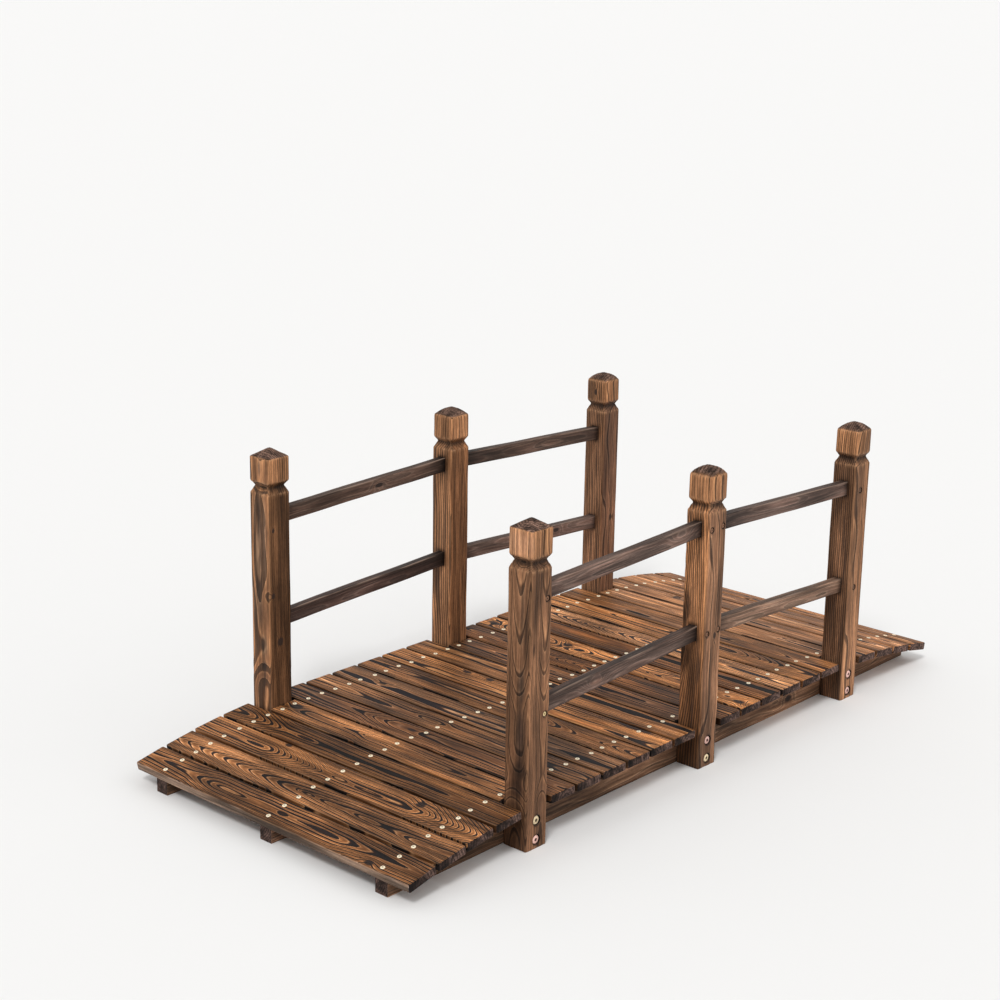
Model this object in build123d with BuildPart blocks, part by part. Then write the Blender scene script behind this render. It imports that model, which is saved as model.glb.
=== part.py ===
# Arched wooden garden footbridge, in millimetres.
# X runs along the bridge, Y across it and Z up. The origin lies on the ground, midway along
# and midway across. The front side is at -Y, and the left end at -X.
import os
from math import cos, sin

from build123d import *

os.makedirs("parts", exist_ok=True)

# Deck boards. The deck's length is measured along its arch.
deck_length = 1512.0
deck_height = 80.0
deck_width = 660.0
board_count = 23
board_width = 60.0
board_thickness = 15.0
board_edge_round = 2.0
board_corner_round = 3.0
board_seat = 0.2

# Arch of the deck: level in the middle, and an arc at each end
flat_half_length = 390.0
arch_radius = 1650.0

# Stringers
stringer_thickness = 28.0
stringer_end_setback = 2.0
stringer_edge_round = 1.5

# Posts
post_section = 50.0
post_edge_round = 4.0
post_height = 550.0
peak_rise = 14.0
peak_flat = 6.0
peak_flat_round = 1.0
cap_side = 43.0
groove_depth = 6.6
groove_upper = 9.0
groove_lower = 13.0
groove_edge_round = 2.0
end_board_count = 4
short_board_clearance = 2.0

# Rails and their pockets in the posts
rail_height = 27.0
rail_thickness = 16.0
rail_edge_round = 1.5
rail_pocket = 14.0
rail_clearance = 0.2
upper_rail_height = 442.0
upper_rail_fall = 18.0
lower_rail_height = 253.0
lower_rail_fall = 22.0

# Recesses for the two bolts low on each post
bolt_recess_radius = 9.0
bolt_recess_depth = 5.0
lower_bolt_height = 15.0
bolt_spacing = 34.0

# Places that follow from the sizes above
board_gap = (deck_length - board_count * board_width) / (board_count - 1)
board_pitch = board_width + board_gap
middle_board = (board_count + 1) // 2
left_post_board = end_board_count + 1
right_post_board = board_count - end_board_count
post_boards = (left_post_board, middle_board, right_post_board)
stringer_top = deck_height - board_thickness - board_seat
stringer_radius = arch_radius - board_thickness - board_seat
post_y = (deck_width - post_section) / 2.0
post_inner_y = deck_width / 2.0 - post_section
short_board_length = 2.0 * (post_inner_y - short_board_clearance)
stringer_y = post_inner_y - stringer_thickness / 2.0
cap_edge = post_height - peak_rise
groove_top = cap_edge - cap_side
neck = groove_top - groove_upper
shoulder = neck - groove_lower


# How far an arc of the deck has turned at a length along it, in radians
def arc_fall(run):
    return max(abs(run) - flat_half_length, 0.0) / arch_radius


# A place on an arc about the right arch's centre, as x and z
def arch_point(radius, fall):
    return flat_half_length + radius * sin(fall), deck_height - arch_radius + radius * cos(fall)


# The middle of a numbered board, as a length along the deck
def board_run(number):
    return (number - middle_board) * board_pitch


# The plane of a board's top, with its x along the deck
def board_plane(number):
    run = board_run(number)
    fall = arc_fall(run)
    x, z = arch_point(arch_radius, fall) if fall else (abs(run), deck_height)
    if run < 0:
        x, fall = -x, -fall
    return Plane(origin=(x, 0, z), x_dir=(cos(fall), 0, -sin(fall)), z_dir=(sin(fall), 0, cos(fall)))


post_x = board_plane(right_post_board).origin.X
deck_end_run = deck_length / 2.0


# A deck board with eased edges, laid on the arch. The boards between posts are shorter.
def make_board(number):
    length = short_board_length if number in post_boards else deck_width
    top = board_plane(number)
    with BuildPart() as board:
        with BuildSketch(top):
            RectangleRounded(board_width, length, board_corner_round)
        extrude(amount=-board_thickness)
        broad_faces = board.faces().sort_by(Axis(top.origin, top.z_dir))
        fillet([broad_faces[0].edges(), broad_faces[-1].edges()], board_edge_round)
    board.part.label = f"deck_board_{number:02d}"
    export_step(board.part, f"parts/{board.part.label}.step")


# A stringer on edge: flat underneath, level on top in the middle and falling in an arc at each end
def make_stringer(name, y):
    end_fall = arc_fall(deck_end_run - stringer_end_setback)
    end_x, end_z = arch_point(stringer_radius, end_fall)
    halfway = arch_point(stringer_radius, end_fall / 2.0)
    with BuildPart() as stringer:
        with BuildSketch(Plane.XZ.offset(-y)):
            with BuildLine():
                Polyline((0, 0), (end_x, 0), (end_x, end_z))
                ThreePointArc((end_x, end_z), halfway, (flat_half_length, stringer_top))
                Line((flat_half_length, stringer_top), (0, stringer_top))
                mirror(about=Plane.YZ)
            make_face()
        extrude(amount=stringer_thickness / 2.0, both=True)
        fillet(stringer.edges().filter_by(Axis.Z), stringer_edge_round)
    stringer.part.label = name
    export_step(stringer.part, f"parts/{name}.step")


# The outline of a rail seen from the side, between two distances from the bridge's middle.
# It rises towards the middle post. The side is -1 for the left bay and 1 for the right one.
def rail_outline(side, level, fall, inner_x, outer_x, height):
    def corner(x, way):
        return side * x, level - fall * x / post_x + way * height / 2.0

    Polyline(corner(inner_x, 1), corner(outer_x, 1), corner(outer_x, -1), corner(inner_x, -1), close=True)


# A rail, which runs into a pocket in the post at each end
def make_rail(name, y, side, level, fall):
    end = post_section / 2.0 - rail_pocket + rail_clearance
    with BuildPart() as rail:
        with BuildSketch(Plane.XZ.offset(-y)):
            with BuildLine():
                rail_outline(side, level, fall, end, post_x - end, rail_height)
            make_face()
        extrude(amount=rail_thickness / 2.0, both=True)
        slope = Axis((0, 0, 0), (post_x, 0, -side * fall))
        fillet(rail.edges().filter_by(slope), rail_edge_round)
    rail.part.label = name
    export_step(rail.part, f"parts/{name}.step")


# A post: the shaft, a V groove round the neck, the cap and its low peak, with pockets for the
# rails that meet it and two recesses for its bolts
def make_post(name, x, y, bays):
    half = post_section / 2.0
    neck_width = post_section - 2.0 * groove_depth
    with BuildPart() as post:
        for bottom, top in ((0.0, shoulder), (groove_top, cap_edge)):
            with BuildSketch(Plane(origin=(x, y, bottom))):
                RectangleRounded(post_section, post_section, post_edge_round)
            extrude(amount=top - bottom)
        for wide_z, narrow_z, narrow_width, narrow_round in (
            (shoulder, neck, neck_width, groove_edge_round),
            (groove_top, neck, neck_width, groove_edge_round),
            (cap_edge, post_height, peak_flat, peak_flat_round),
        ):
            with BuildSketch(Plane(origin=(x, y, wide_z))):
                RectangleRounded(post_section, post_section, post_edge_round)
            with BuildSketch(Plane(origin=(x, y, narrow_z))):
                RectangleRounded(narrow_width, narrow_width, narrow_round)
            loft(ruled=True)

        for side, at_middle in bays:
            inner = half - rail_pocket if at_middle else post_x - half
            outer = half if at_middle else post_x - half + rail_pocket
            for level, fall in ((upper_rail_height, upper_rail_fall), (lower_rail_height, lower_rail_fall)):
                with BuildSketch(Plane.XZ.offset(-y)):
                    with BuildLine():
                        rail_outline(side, level, fall, inner, outer, rail_height + 2.0 * rail_clearance)
                    make_face()
                extrude(amount=rail_thickness / 2.0 + rail_clearance, both=True, mode=Mode.SUBTRACT)

        outward = 1 if y > 0 else -1
        for bolt_z in (lower_bolt_height, lower_bolt_height + bolt_spacing):
            with Locations(Plane(origin=(x, y + outward * half, bolt_z), z_dir=(0, outward, 0))):
                Hole(bolt_recess_radius, bolt_recess_depth)
    post.part.label = name
    export_step(post.part, f"parts/{name}.step")


for number in range(1, board_count + 1):
    make_board(number)

for place, y in (("front", -stringer_y), ("middle", 0.0), ("back", stringer_y)):
    make_stringer(f"stringer_{place}", y)

left_bay, right_bay = -1, 1
for row, y in (("front", -post_y), ("back", post_y)):
    make_post(f"post_{row}_left", -post_x, y, [(left_bay, False)])
    make_post(f"post_{row}_middle", 0.0, y, [(left_bay, True), (right_bay, True)])
    make_post(f"post_{row}_right", post_x, y, [(right_bay, False)])
    for bay, side in (("left", left_bay), ("right", right_bay)):
        make_rail(f"rail_{row}_{bay}_upper", y, side, upper_rail_height, upper_rail_fall)
        make_rail(f"rail_{row}_{bay}_lower", y, side, lower_rail_height, lower_rail_fall)
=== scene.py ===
"""The looks of an arched wooden garden footbridge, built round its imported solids.

X runs along the bridge, Y across it and Z up, in metres. The front side is at -Y and the left
end at -X. Each timber is first made lying down in a frame of its own: X is across it, Y along it
and Z through its thickness, with the best face at the top. Its grain is drawn there, and then it
is turned and moved to its place, so the finished mesh holds the place and its object stays at
the origin.
"""

import logging
import math
import random
from collections.abc import Callable, Iterable, Sequence
from dataclasses import dataclass, field
from enum import Enum
from functools import partial

import bmesh
import bpy
import numpy as np
from mathutils import Matrix, Vector


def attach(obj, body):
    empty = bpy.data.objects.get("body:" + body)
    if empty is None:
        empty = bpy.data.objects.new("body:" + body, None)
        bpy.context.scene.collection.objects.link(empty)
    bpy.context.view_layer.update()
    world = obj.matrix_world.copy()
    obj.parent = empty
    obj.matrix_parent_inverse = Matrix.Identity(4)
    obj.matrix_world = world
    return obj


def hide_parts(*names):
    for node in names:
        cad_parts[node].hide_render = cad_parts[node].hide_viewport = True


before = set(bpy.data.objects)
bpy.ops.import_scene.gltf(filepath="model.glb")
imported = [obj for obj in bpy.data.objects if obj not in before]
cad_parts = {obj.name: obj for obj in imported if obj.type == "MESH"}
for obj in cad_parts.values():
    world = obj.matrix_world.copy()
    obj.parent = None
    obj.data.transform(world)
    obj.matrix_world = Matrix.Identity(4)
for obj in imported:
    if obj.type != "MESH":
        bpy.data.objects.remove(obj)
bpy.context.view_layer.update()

MM = 0.001
TAU = 2.0 * math.pi
BODY = "root"
ROWS = (("front", -1), ("back", 1))
PLACES = {"left": -1, "middle": 0, "right": 1}
ALIGNED = 0.99
SHARP_ANGLE = math.radians(40.0)
LOG = logging.getLogger("footbridge")

Colour = tuple[float, float, float]
Points = np.ndarray
Placing = Callable[[Points], Points]


def portion(value: Points, width: float) -> Points:
    """Gives how much of a width a value covers, from 0 to 1."""
    return np.clip(value / width, 0.0, 1.0)


def hump(value: Points, width: float) -> Points:
    """Gives 1 where a value is 0, falling away smoothly over a width on both sides."""
    return np.exp(-((value / width) ** 2))


def nothing(points: Points) -> Points:
    """Gives 0 for every point."""
    return np.zeros(len(points))


class Side(Enum):
    """A direction along one of the bridge's axes."""

    X = 0
    Y = 1
    Z = 2

    @property
    def unit(self) -> Vector:
        """The unit vector of the axis."""
        return Vector([float(i == self.value) for i in range(3)])


class Shade(Enum):
    """How a timber's stain differs from its finish, as factors of red, green and blue."""

    EVEN = (1.0, 1.0, 1.0)
    RUSSET = (0.82, 0.79, 0.74)
    DARK = (0.68, 0.66, 0.68)
    UMBER = (0.6, 0.56, 0.47)
    SMOKED = (0.62, 0.6, 0.56)
    CHESTNUT = (0.82, 0.72, 0.58)
    TAN = (1.16, 1.12, 1.04)
    AMBER = (1.55, 1.46, 1.25)
    HONEY = (1.75, 1.56, 1.25)
    GREY = (0.8, 0.86, 0.98)
    # Paler stain, with painted sky sheen, for the far end's boards.
    PALE_AND_SHEEN = (1.4, 1.48, 1.65)
    STRAW = (2.4, 2.5, 2.6)


class Plating(Enum):
    """The tint of a bolt's plating, as factors of red, green and blue."""

    PLAIN = (1.0, 1.0, 1.0)
    CREAM = (1.0, 0.87, 0.6)
    PINK = (1.0, 0.68, 0.63)
    RUSTY = (0.26, 0.13, 0.08)


class Outline(Enum):
    """The outline of a driving recess in a screw's or bolt's head."""

    CROSS = 4
    HEXAGON = 6

    def reach(self, angle: float, radius: float) -> float:
        """Gives how far the recess reaches from the head's middle in one direction.

        Args:
            angle: The direction, in radians.
            radius: The recess's greatest reach.

        Returns:
            The distance from the middle.
        """
        half_turn = TAU / (2.0 * self.value)
        if self is Outline.CROSS:
            half_arm, hollow = 0.3, 0.42
            off_arm = abs((angle + half_turn) % (2.0 * half_turn) - half_turn)
            return radius if off_arm < half_arm else radius * hollow
        off_flat = abs(angle % (2.0 * half_turn) - half_turn)
        return radius * math.cos(half_turn) / math.cos(off_flat)


# Wood figure


@dataclass(frozen=True)
class Mark:
    """A place in a timber's figure. Sizes are in millimetres.

    Attributes:
        across: Its place across the timber, from the middle.
        along: Its place along the timber.
        radius: Half its width.
        stretch: Its length against its width.
        deep: Its place through the thickness.
        reach: How far it reaches through the thickness.
    """

    across: float
    along: float
    radius: float
    stretch: float = 1.3
    deep: float = 0.0
    reach: float = 500.0

    @property
    def middle(self) -> Points:
        """The mark's own place, as an array of one point."""
        return np.array([[self.across, self.along, self.deep]], dtype=float)

    def spread(self, spots: Points) -> Points:
        """Gives how far points lie from the mark, squared, in its own radii."""
        radii = (self.radius, self.radius * self.stretch, self.reach)
        return np.sum(((spots - self.middle) / radii) ** 2, axis=1)


@dataclass(frozen=True)
class Bulge(Mark):
    """A place where the rings swell, and how many rings high."""

    swell: float = 1.6


@dataclass(frozen=True)
class Knot(Bulge):
    """A dark knot, with the rings swelling round it."""


@dataclass(frozen=True)
class Lens(Mark):
    """A long dark patch, where the saw ran along one ring's late wood."""


@dataclass(frozen=True)
class Patch(Mark):
    """A place where the face runs along one ring, and how far through that ring, from 0 to 1."""

    level: float = 0.35


@dataclass(frozen=True)
class Blotch(Mark):
    """A patch of char, bare wood or painted shade, as factors of red, green and blue, and its
    edge's sharpness.
    """

    tint: Colour = (0.42, 0.5, 0.64)
    edge: float = 2.0


@dataclass(frozen=True)
class Sawing:
    """How a timber was sawn from its log, which sets its grain. Sizes are in millimetres.

    Attributes:
        seed: Picks the way that the rings sway.
        pith: Where the log's pith lies, across the timber and through its thickness.
        ring: The width of a year's ring.
        drift: How many rings the face climbs at places along the timber, as pairs.
        sway: How far the pith sways.
        marks: The timber's knots and dark patches.
        burn: How much more than usual it is scorched.
        sides: How much more a post's sides along the bridge are scorched than the others.
    """

    seed: int
    pith: tuple[float, float] = (0.0, -12.0)
    ring: float = 3.2
    drift: tuple[tuple[float, float], ...] = ((0.0, 0.0),)
    sway: float = 1.2
    marks: tuple[Mark, ...] = ()
    burn: float = 0.0
    sides: float = 0.36

    def growth(self, spots: Points) -> Points:
        """Counts the rings between the pith and each point, as if there were no marks.

        Args:
            spots: The points, in the timber's own frame and in millimetres.

        Returns:
            The number of rings at each point.
        """
        draw = random.Random(self.seed)
        along = spots[:, 1]
        away = spots[:, ::2] - self.pith
        for length, share in ((640.0, 1.0), (260.0, 0.6), (110.0, 0.3)):
            for axis in (0, 1):
                wave = np.sin(TAU * (along / length + draw.random()))
                away[:, axis] += self.sway * share * wave
        places, climbs = zip(*self.drift)
        climb = sum(np.interp(along + shift, places, climbs) for shift in (-9.0, 0.0, 9.0)) / 3.0
        return np.hypot(*away.T) / self.ring + climb

    def rings(self, spots: Points, marks: Sequence[Mark] | None = None) -> Points:
        """Counts the rings between the pith and each point, with all of the marks or only some.

        Args:
            spots: The points, in the timber's own frame and in millimetres.
            marks: The marks that count, or nothing for all of them.

        Returns:
            The number of rings at each point.
        """
        marks = self.marks if marks is None else marks
        count = self.growth(spots)
        for number, mark in enumerate(marks):
            spread = mark.spread(spots)
            if isinstance(mark, Bulge):
                count += mark.swell * np.exp(-spread / 4.0)
            elif isinstance(mark, Patch):
                here = float(self.rings(mark.middle, marks[:number])[0])
                count += (math.floor(here) + mark.level - count) * np.exp(-0.7 * spread**2)
            elif isinstance(mark, Lens):
                here = float(self.growth(mark.middle)[0])
                count += (math.floor(here - 0.05) - 0.11 - here) * np.exp(-0.7 * spread**2)
        return count

    def tint(self, spots: Points) -> Points:
        """Gives the factors of red, green and blue by which the blotches change each point's
        colour.

        Args:
            spots: The points, in the timber's own frame and in millimetres.

        Returns:
            The factors at each point, in rows of three.
        """
        tint = np.ones((len(spots), 3))
        for mark in self.marks:
            if isinstance(mark, Blotch):
                share = np.exp(-(mark.spread(spots) ** mark.edge))[:, None]
                tint *= 1.0 - share + share * np.array(mark.tint)
        return tint

    def cores(self, spots: Points) -> Points:
        """Gives how deep inside a knot each point lies, from 0 to 1.

        Args:
            spots: The points, in the timber's own frame and in millimetres.

        Returns:
            The depth at each point.
        """
        core = np.zeros(len(spots))
        for mark in self.marks:
            if isinstance(mark, Knot):
                core = np.maximum(core, 1.0 / (1.0 + mark.spread(spots) ** 2))
        return core


# Materials


class Bench:
    """Lays out the nodes of one material."""

    def __init__(self, name: str) -> None:
        """Starts a material with its surface shader.

        Args:
            name: The material's name.
        """
        self.material = bpy.data.materials.new(name)
        self.material.use_nodes = True
        self.tree = self.material.node_tree
        self.shader = self.tree.nodes["Principled BSDF"]

    def node(self, kind: str, **settings: object) -> bpy.types.Node:
        """Adds a node of a kind and gives it its settings.

        Args:
            kind: The node's type, without its prefix.
            settings: Its settings.

        Returns:
            The node.
        """
        node = self.tree.nodes.new(f"ShaderNode{kind}")
        for key, value in settings.items():
            setattr(node, key, value)
        return node

    def feed(self, socket: bpy.types.NodeSocket, value: object) -> None:
        """Links a socket to another, or sets its value.

        Args:
            socket: The socket.
            value: Another socket, a value, or nothing to leave it alone.
        """
        if isinstance(value, bpy.types.NodeSocket):
            self.tree.links.new(value, socket)
        elif value is not None:
            socket.default_value = (*value, 1.0) if socket.type == "RGBA" else value

    def attribute(self, name: str, output: str = "Fac") -> bpy.types.NodeSocket:
        """Reads one of the piece's own attributes."""
        return self.node("Attribute", attribute_name=name).outputs[output]

    def maths(self, operation: str, *values: object) -> bpy.types.NodeSocket:
        """Works out one sum.

        Args:
            operation: The sum's name.
            values: Its sockets or numbers.

        Returns:
            The result's socket.
        """
        node = self.node("Math", operation=operation)
        for socket, value in zip(node.inputs, values):
            self.feed(socket, value)
        return node.outputs[0]

    def stretch(self, vector: bpy.types.NodeSocket, factors: Colour) -> bpy.types.NodeSocket:
        """Scales a vector by a factor for each axis.

        Args:
            vector: The vector's socket.
            factors: The factors.

        Returns:
            The scaled vector's socket.
        """
        node = self.node("VectorMath", operation="MULTIPLY")
        self.feed(node.inputs[0], vector)
        node.inputs[1].default_value = factors
        return node.outputs[0]

    def noise(
        self, vector: bpy.types.NodeSocket, factors: Colour, detail: float = 2.0
    ) -> bpy.types.NodeSocket:
        """Draws noise stretched by a factor, in cycles per metre, for each axis.

        Args:
            vector: The places' socket.
            factors: The cycles per metre along each axis.
            detail: How many finer layers it has.

        Returns:
            The noise's socket.
        """
        node = self.node("TexNoise")
        self.feed(node.inputs["Vector"], self.stretch(vector, factors))
        node.inputs["Scale"].default_value = 1.0
        node.inputs["Detail"].default_value = detail
        return node.outputs["Fac"]

    def span(
        self, value: object, low: float, high: float, to_low: float = 0.0, to_high: float = 1.0
    ) -> bpy.types.NodeSocket:
        """Maps a value's range smoothly to another.

        Args:
            value: The value's socket.
            low: The range's start.
            high: The range's end.
            to_low: What the start becomes.
            to_high: What the end becomes.

        Returns:
            The new value's socket.
        """
        node = self.node("MapRange", interpolation_type="SMOOTHSTEP")
        for socket, number in zip(node.inputs, (value, low, high, to_low, to_high)):
            self.feed(socket, number)
        return node.outputs[0]

    def mix(
        self, amount: object, first: object, second: object, way: str = "MIX"
    ) -> bpy.types.NodeSocket:
        """Mixes two colours.

        Args:
            amount: The second colour's share.
            first: The first colour.
            second: The second colour.
            way: How they are mixed.

        Returns:
            The mixed colour's socket.
        """
        node = self.node("Mix", data_type="RGBA", blend_type=way)
        factor, *_, first_colour, second_colour = node.inputs[:8]
        for socket, value in ((factor, amount), (first_colour, first), (second_colour, second)):
            self.feed(socket, value)
        return node.outputs[2]

    def times(self, colour: object, factor: object) -> bpy.types.NodeSocket:
        """Multiplies a colour by a grey or by another colour."""
        return self.mix(1.0, colour, factor, "MULTIPLY")

    def ramp(self, value: object, stops: Sequence[tuple[float, Colour]]) -> bpy.types.NodeSocket:
        """Turns a value from 0 to 1 into a colour.

        Args:
            value: The value's socket.
            stops: Places from 0 to 1, and their colours.

        Returns:
            The colour's socket.
        """
        node = self.node("ValToRGB")
        elements = node.color_ramp.elements
        while len(elements) < len(stops):
            elements.new(1.0)
        for element, (place, colour) in zip(elements, stops):
            element.position = place
            element.color = (*colour, 1.0)
        self.feed(node.inputs[0], value)
        return node.outputs[0]

    def bump(self, height: object, distance: float, strength: float) -> None:
        """Roughens the surface's shading by a height.

        Args:
            height: The height's socket.
            distance: How high a height of 1 stands, in metres.
            strength: How strongly it shows, from 0 to 1.
        """
        node = self.node("Bump")
        node.inputs["Strength"].default_value = strength
        node.inputs["Distance"].default_value = distance
        self.feed(node.inputs["Height"], height)
        self.feed(self.shader.inputs["Normal"], node.outputs[0])


@dataclass(frozen=True)
class WoodFinish:
    """Flame-darkened softwood under a brown stain.

    Attributes:
        name: The material's name.
        slot: The record's material slot.
        length_axis: The axis that the timbers' grain runs along.
        pale: The early wood's colour.
        middle: The colour between early and late wood.
        dark: The late wood's colour.
        char: The colour of burnt wood and knots.
        end: The colour of end grain.
        worn: The colour of worn edges and of painted edge highlights.
        lip: The colour of the light lines beside the late wood.
        waver: How far the ring lines waver, in rings.
        lines: How strongly the late wood shows, from 0 to 1.
        fibres: How strongly the fibres show.
        sheen: The roughness of the smoothest places.
    """

    name: str
    slot: str
    length_axis: Side
    pale: Colour = (0.29, 0.122, 0.045)
    middle: Colour = (0.175, 0.068, 0.024)
    dark: Colour = (0.033, 0.0116, 0.0047)
    char: Colour = (0.013, 0.009, 0.0085)
    end: Colour = (0.042, 0.025, 0.02)
    worn: Colour = (0.5, 0.27, 0.14)
    lip: Colour = (0.47, 0.23, 0.105)
    waver: float = 0.7
    lines: float = 1.0
    fibres: float = 1.0
    sheen: float = 0.5

    def material(self) -> bpy.types.Material:
        """Builds the material from the timbers' own attributes.

        Returns:
            The material.
        """
        bench = Bench(self.name)
        grain = bench.attribute("grain", "Vector")

        # Ring lines, which waver a little. Where the flame was hotter, more of each ring is dark.
        slow = bench.noise(grain, (30.0, 4.0, 30.0), 2.0)
        quick = bench.noise(grain, (240.0, 9.0, 240.0), 3.0)
        count = bench.maths("MULTIPLY_ADD", slow, self.waver, bench.attribute("rings"))
        count = bench.maths("MULTIPLY_ADD", quick, 0.3 * self.waver, count)
        year = bench.maths("FRACT", count)
        age = bench.node("TexWhiteNoise", noise_dimensions="1D")
        bench.feed(age.inputs["W"], bench.maths("FLOOR", count))
        heat = bench.noise(grain, (30.0, 2.8, 30.0), 2.0)
        heat = bench.maths("MULTIPLY_ADD", age.outputs["Value"], 0.16, heat)
        heat = bench.maths("ADD", heat, bench.attribute("burn"))
        start = bench.span(heat, 0.42, 0.82, 0.76, 0.4)
        late = bench.span(year, start, bench.maths("ADD", start, 0.1), 0.0, self.lines)
        deep = bench.span(year, bench.maths("ADD", start, 0.06), bench.maths("ADD", start, 0.22))
        share = bench.maths("DIVIDE", year, start)
        colours = (self.lip, self.pale, self.middle, self.pale, self.lip)
        early = bench.ramp(share, tuple(zip((0.0, 0.12, 0.5, 0.85, 0.97), colours)))
        colour = bench.mix(late, early, bench.mix(deep, self.dark, self.char))
        bare = bench.span(bench.attribute("burn"), -0.65, -0.35, 1.0, 0.0)
        colour = bench.mix(bare, colour, self.middle)

        # Clouds and bands of deeper and paler stain, then fibres
        cloud = bench.noise(grain, (19.0, 4.2, 19.0), 4.0)
        band = bench.noise(grain, (75.0, 5.0, 75.0), 3.0)
        strand = bench.noise(grain, (230.0, 8.0, 230.0), 2.0)
        fibre = bench.noise(grain, (620.0, 15.0, 620.0), 3.0)
        grit = bench.noise(grain, (1700.0, 120.0, 1700.0), 2.0)
        depths = (0.5, 0.46, 0.36, 0.26, 0.24)
        for value, depth in zip((cloud, band, strand, fibre, grit), depths):
            reach = depth * self.fibres
            colour = bench.times(colour, bench.span(value, 0.3, 0.7, 1.0 - reach, 1.0 + reach))
        colour = bench.times(colour, bench.attribute("shade", "Color"))

        # Fine scorched streaks, and knots
        darkening = bench.span(bench.maths("MULTIPLY_ADD", heat, 0.4, strand), 0.86, 0.98, 0.0, 0.7)
        colour = bench.mix(darkening, colour, self.char)
        core = bench.maths("SUBTRACT", quick, 0.5)
        core = bench.maths("MULTIPLY_ADD", core, 0.9, bench.attribute("knot"))
        colour = bench.mix(bench.span(core, 0.3, 0.7, 0.0, 0.93), colour, self.char)

        # Worn edges and painted edge highlights
        wear_and_highlight = bench.maths("MULTIPLY", bench.attribute("wear_and_highlight"), bench.span(quick, 0.42, 0.6))
        colour = bench.mix(wear_and_highlight, colour, self.worn)

        # End grain is duller, and its rings are fainter
        surface = bench.node("NewGeometry").outputs["Normal"]
        along = bench.node("VectorMath", operation="DOT_PRODUCT")
        bench.feed(along.inputs[0], surface)
        along.inputs[1].default_value = self.length_axis.unit
        end_on = bench.span(bench.maths("ABSOLUTE", along.outputs["Value"]), 0.6, 0.8)
        pores = bench.noise(grain, (420.0, 420.0, 420.0), 3.0)
        end = self.end
        for value, low, high, dark, light in (
            (year, 0.3, 0.95, 1.4, 0.5),
            (pores, 0.35, 0.65, 0.5, 1.5),
            (band, 0.3, 0.7, 0.35, 1.8),
            (bench.attribute("burn"), -0.5, 0.5, 2.0, 0.3),
        ):
            end = bench.times(end, bench.span(value, low, high, dark, light))
        colour = bench.mix(end_on, colour, end)

        bench.feed(bench.shader.inputs["Base Color"], colour)
        dull = bench.maths("MULTIPLY_ADD", year, 0.5, cloud)
        rough = bench.span(dull, 0.3, 1.1, self.sheen, self.sheen + 0.22)
        rough = bench.maths("MAXIMUM", rough, bench.maths("MULTIPLY", end_on, 0.8))
        bench.feed(bench.shader.inputs["Roughness"], rough)
        bench.shader.inputs["Specular IOR Level"].default_value = 0.14
        bench.bump(bench.maths("SUBTRACT", strand, late), 0.3 * MM, 0.5)
        return bench.material


@dataclass(frozen=True)
class MetalFinish:
    """Plated steel or brass, a little dulled.

    Attributes:
        name: The material's name.
        slot: The record's material slot.
        colour: The metal's colour.
        dull: The colour of its dull patches.
        roughness: The roughness of the metal.
        metal: How metallic its reflections are.
    """

    name: str
    slot: str
    colour: Colour
    dull: Colour
    roughness: float = 0.34
    metal: float = 0.45

    def material(self) -> bpy.types.Material:
        """Builds the material.

        Returns:
            The material.
        """
        bench = Bench(self.name)
        place = bench.node("TexCoord").outputs["Object"]
        patch = bench.noise(place, (420.0, 420.0, 420.0), 3.0)
        colour = bench.mix(bench.span(patch, 0.42, 0.66), self.colour, self.dull)
        colour = bench.times(colour, bench.attribute("shade", "Color"))
        bench.feed(bench.shader.inputs["Base Color"], colour)
        bench.shader.inputs["Metallic"].default_value = self.metal
        rough = bench.span(patch, 0.3, 0.7, self.roughness, self.roughness + 0.18)
        bench.feed(bench.shader.inputs["Roughness"], rough)
        bench.bump(bench.noise(place, (1900.0, 1900.0, 1900.0), 2.0), 0.05 * MM, 0.5)
        return bench.material


# Shaping


def bevel(
    shape: bmesh.types.BMesh, edges: Sequence[bmesh.types.BMEdge], radius: float, segments: int
) -> None:
    """Rounds some edges of a shape.

    Args:
        shape: The shape.
        edges: The edges.
        radius: The rounding's radius.
        segments: The number of flats in the rounding.
    """
    bmesh.ops.bevel(
        shape,
        geom=edges,
        offset=radius,
        offset_type="OFFSET",
        segments=segments,
        profile=0.5,
        affect="EDGES",
        material=-1,
    )


def ease_edges(shape: bmesh.types.BMesh, axis: Side, radius: float, segments: int) -> None:
    """Rounds every edge that runs along an axis.

    Args:
        shape: The shape.
        axis: The edges' direction.
        radius: The rounding's radius.
        segments: The number of flats in the rounding.
    """
    lines = {e: (e.verts[1].co - e.verts[0].co).normalized() for e in shape.edges}
    along = [e for e, line in lines.items() if abs(line[axis.value]) > ALIGNED]
    bevel(shape, along, radius, segments)


def ease_rims(
    shape: bmesh.types.BMesh,
    axis: Side,
    radius: float,
    segments: int,
    ways: Sequence[int] = (-1, 1),
) -> None:
    """Rounds the rims of the flat faces that look along an axis.

    Args:
        shape: The shape.
        axis: The faces' direction.
        radius: The rounding's radius.
        segments: The number of flats in the rounding.
        ways: The ways along the axis that count, as -1 and 1.
    """
    shape.normal_update()
    flats = [f for f in shape.faces if any(f.normal[axis.value] * way > ALIGNED for way in ways)]
    bevel(shape, list({e for f in flats for e in f.edges}), radius, segments)


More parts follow.
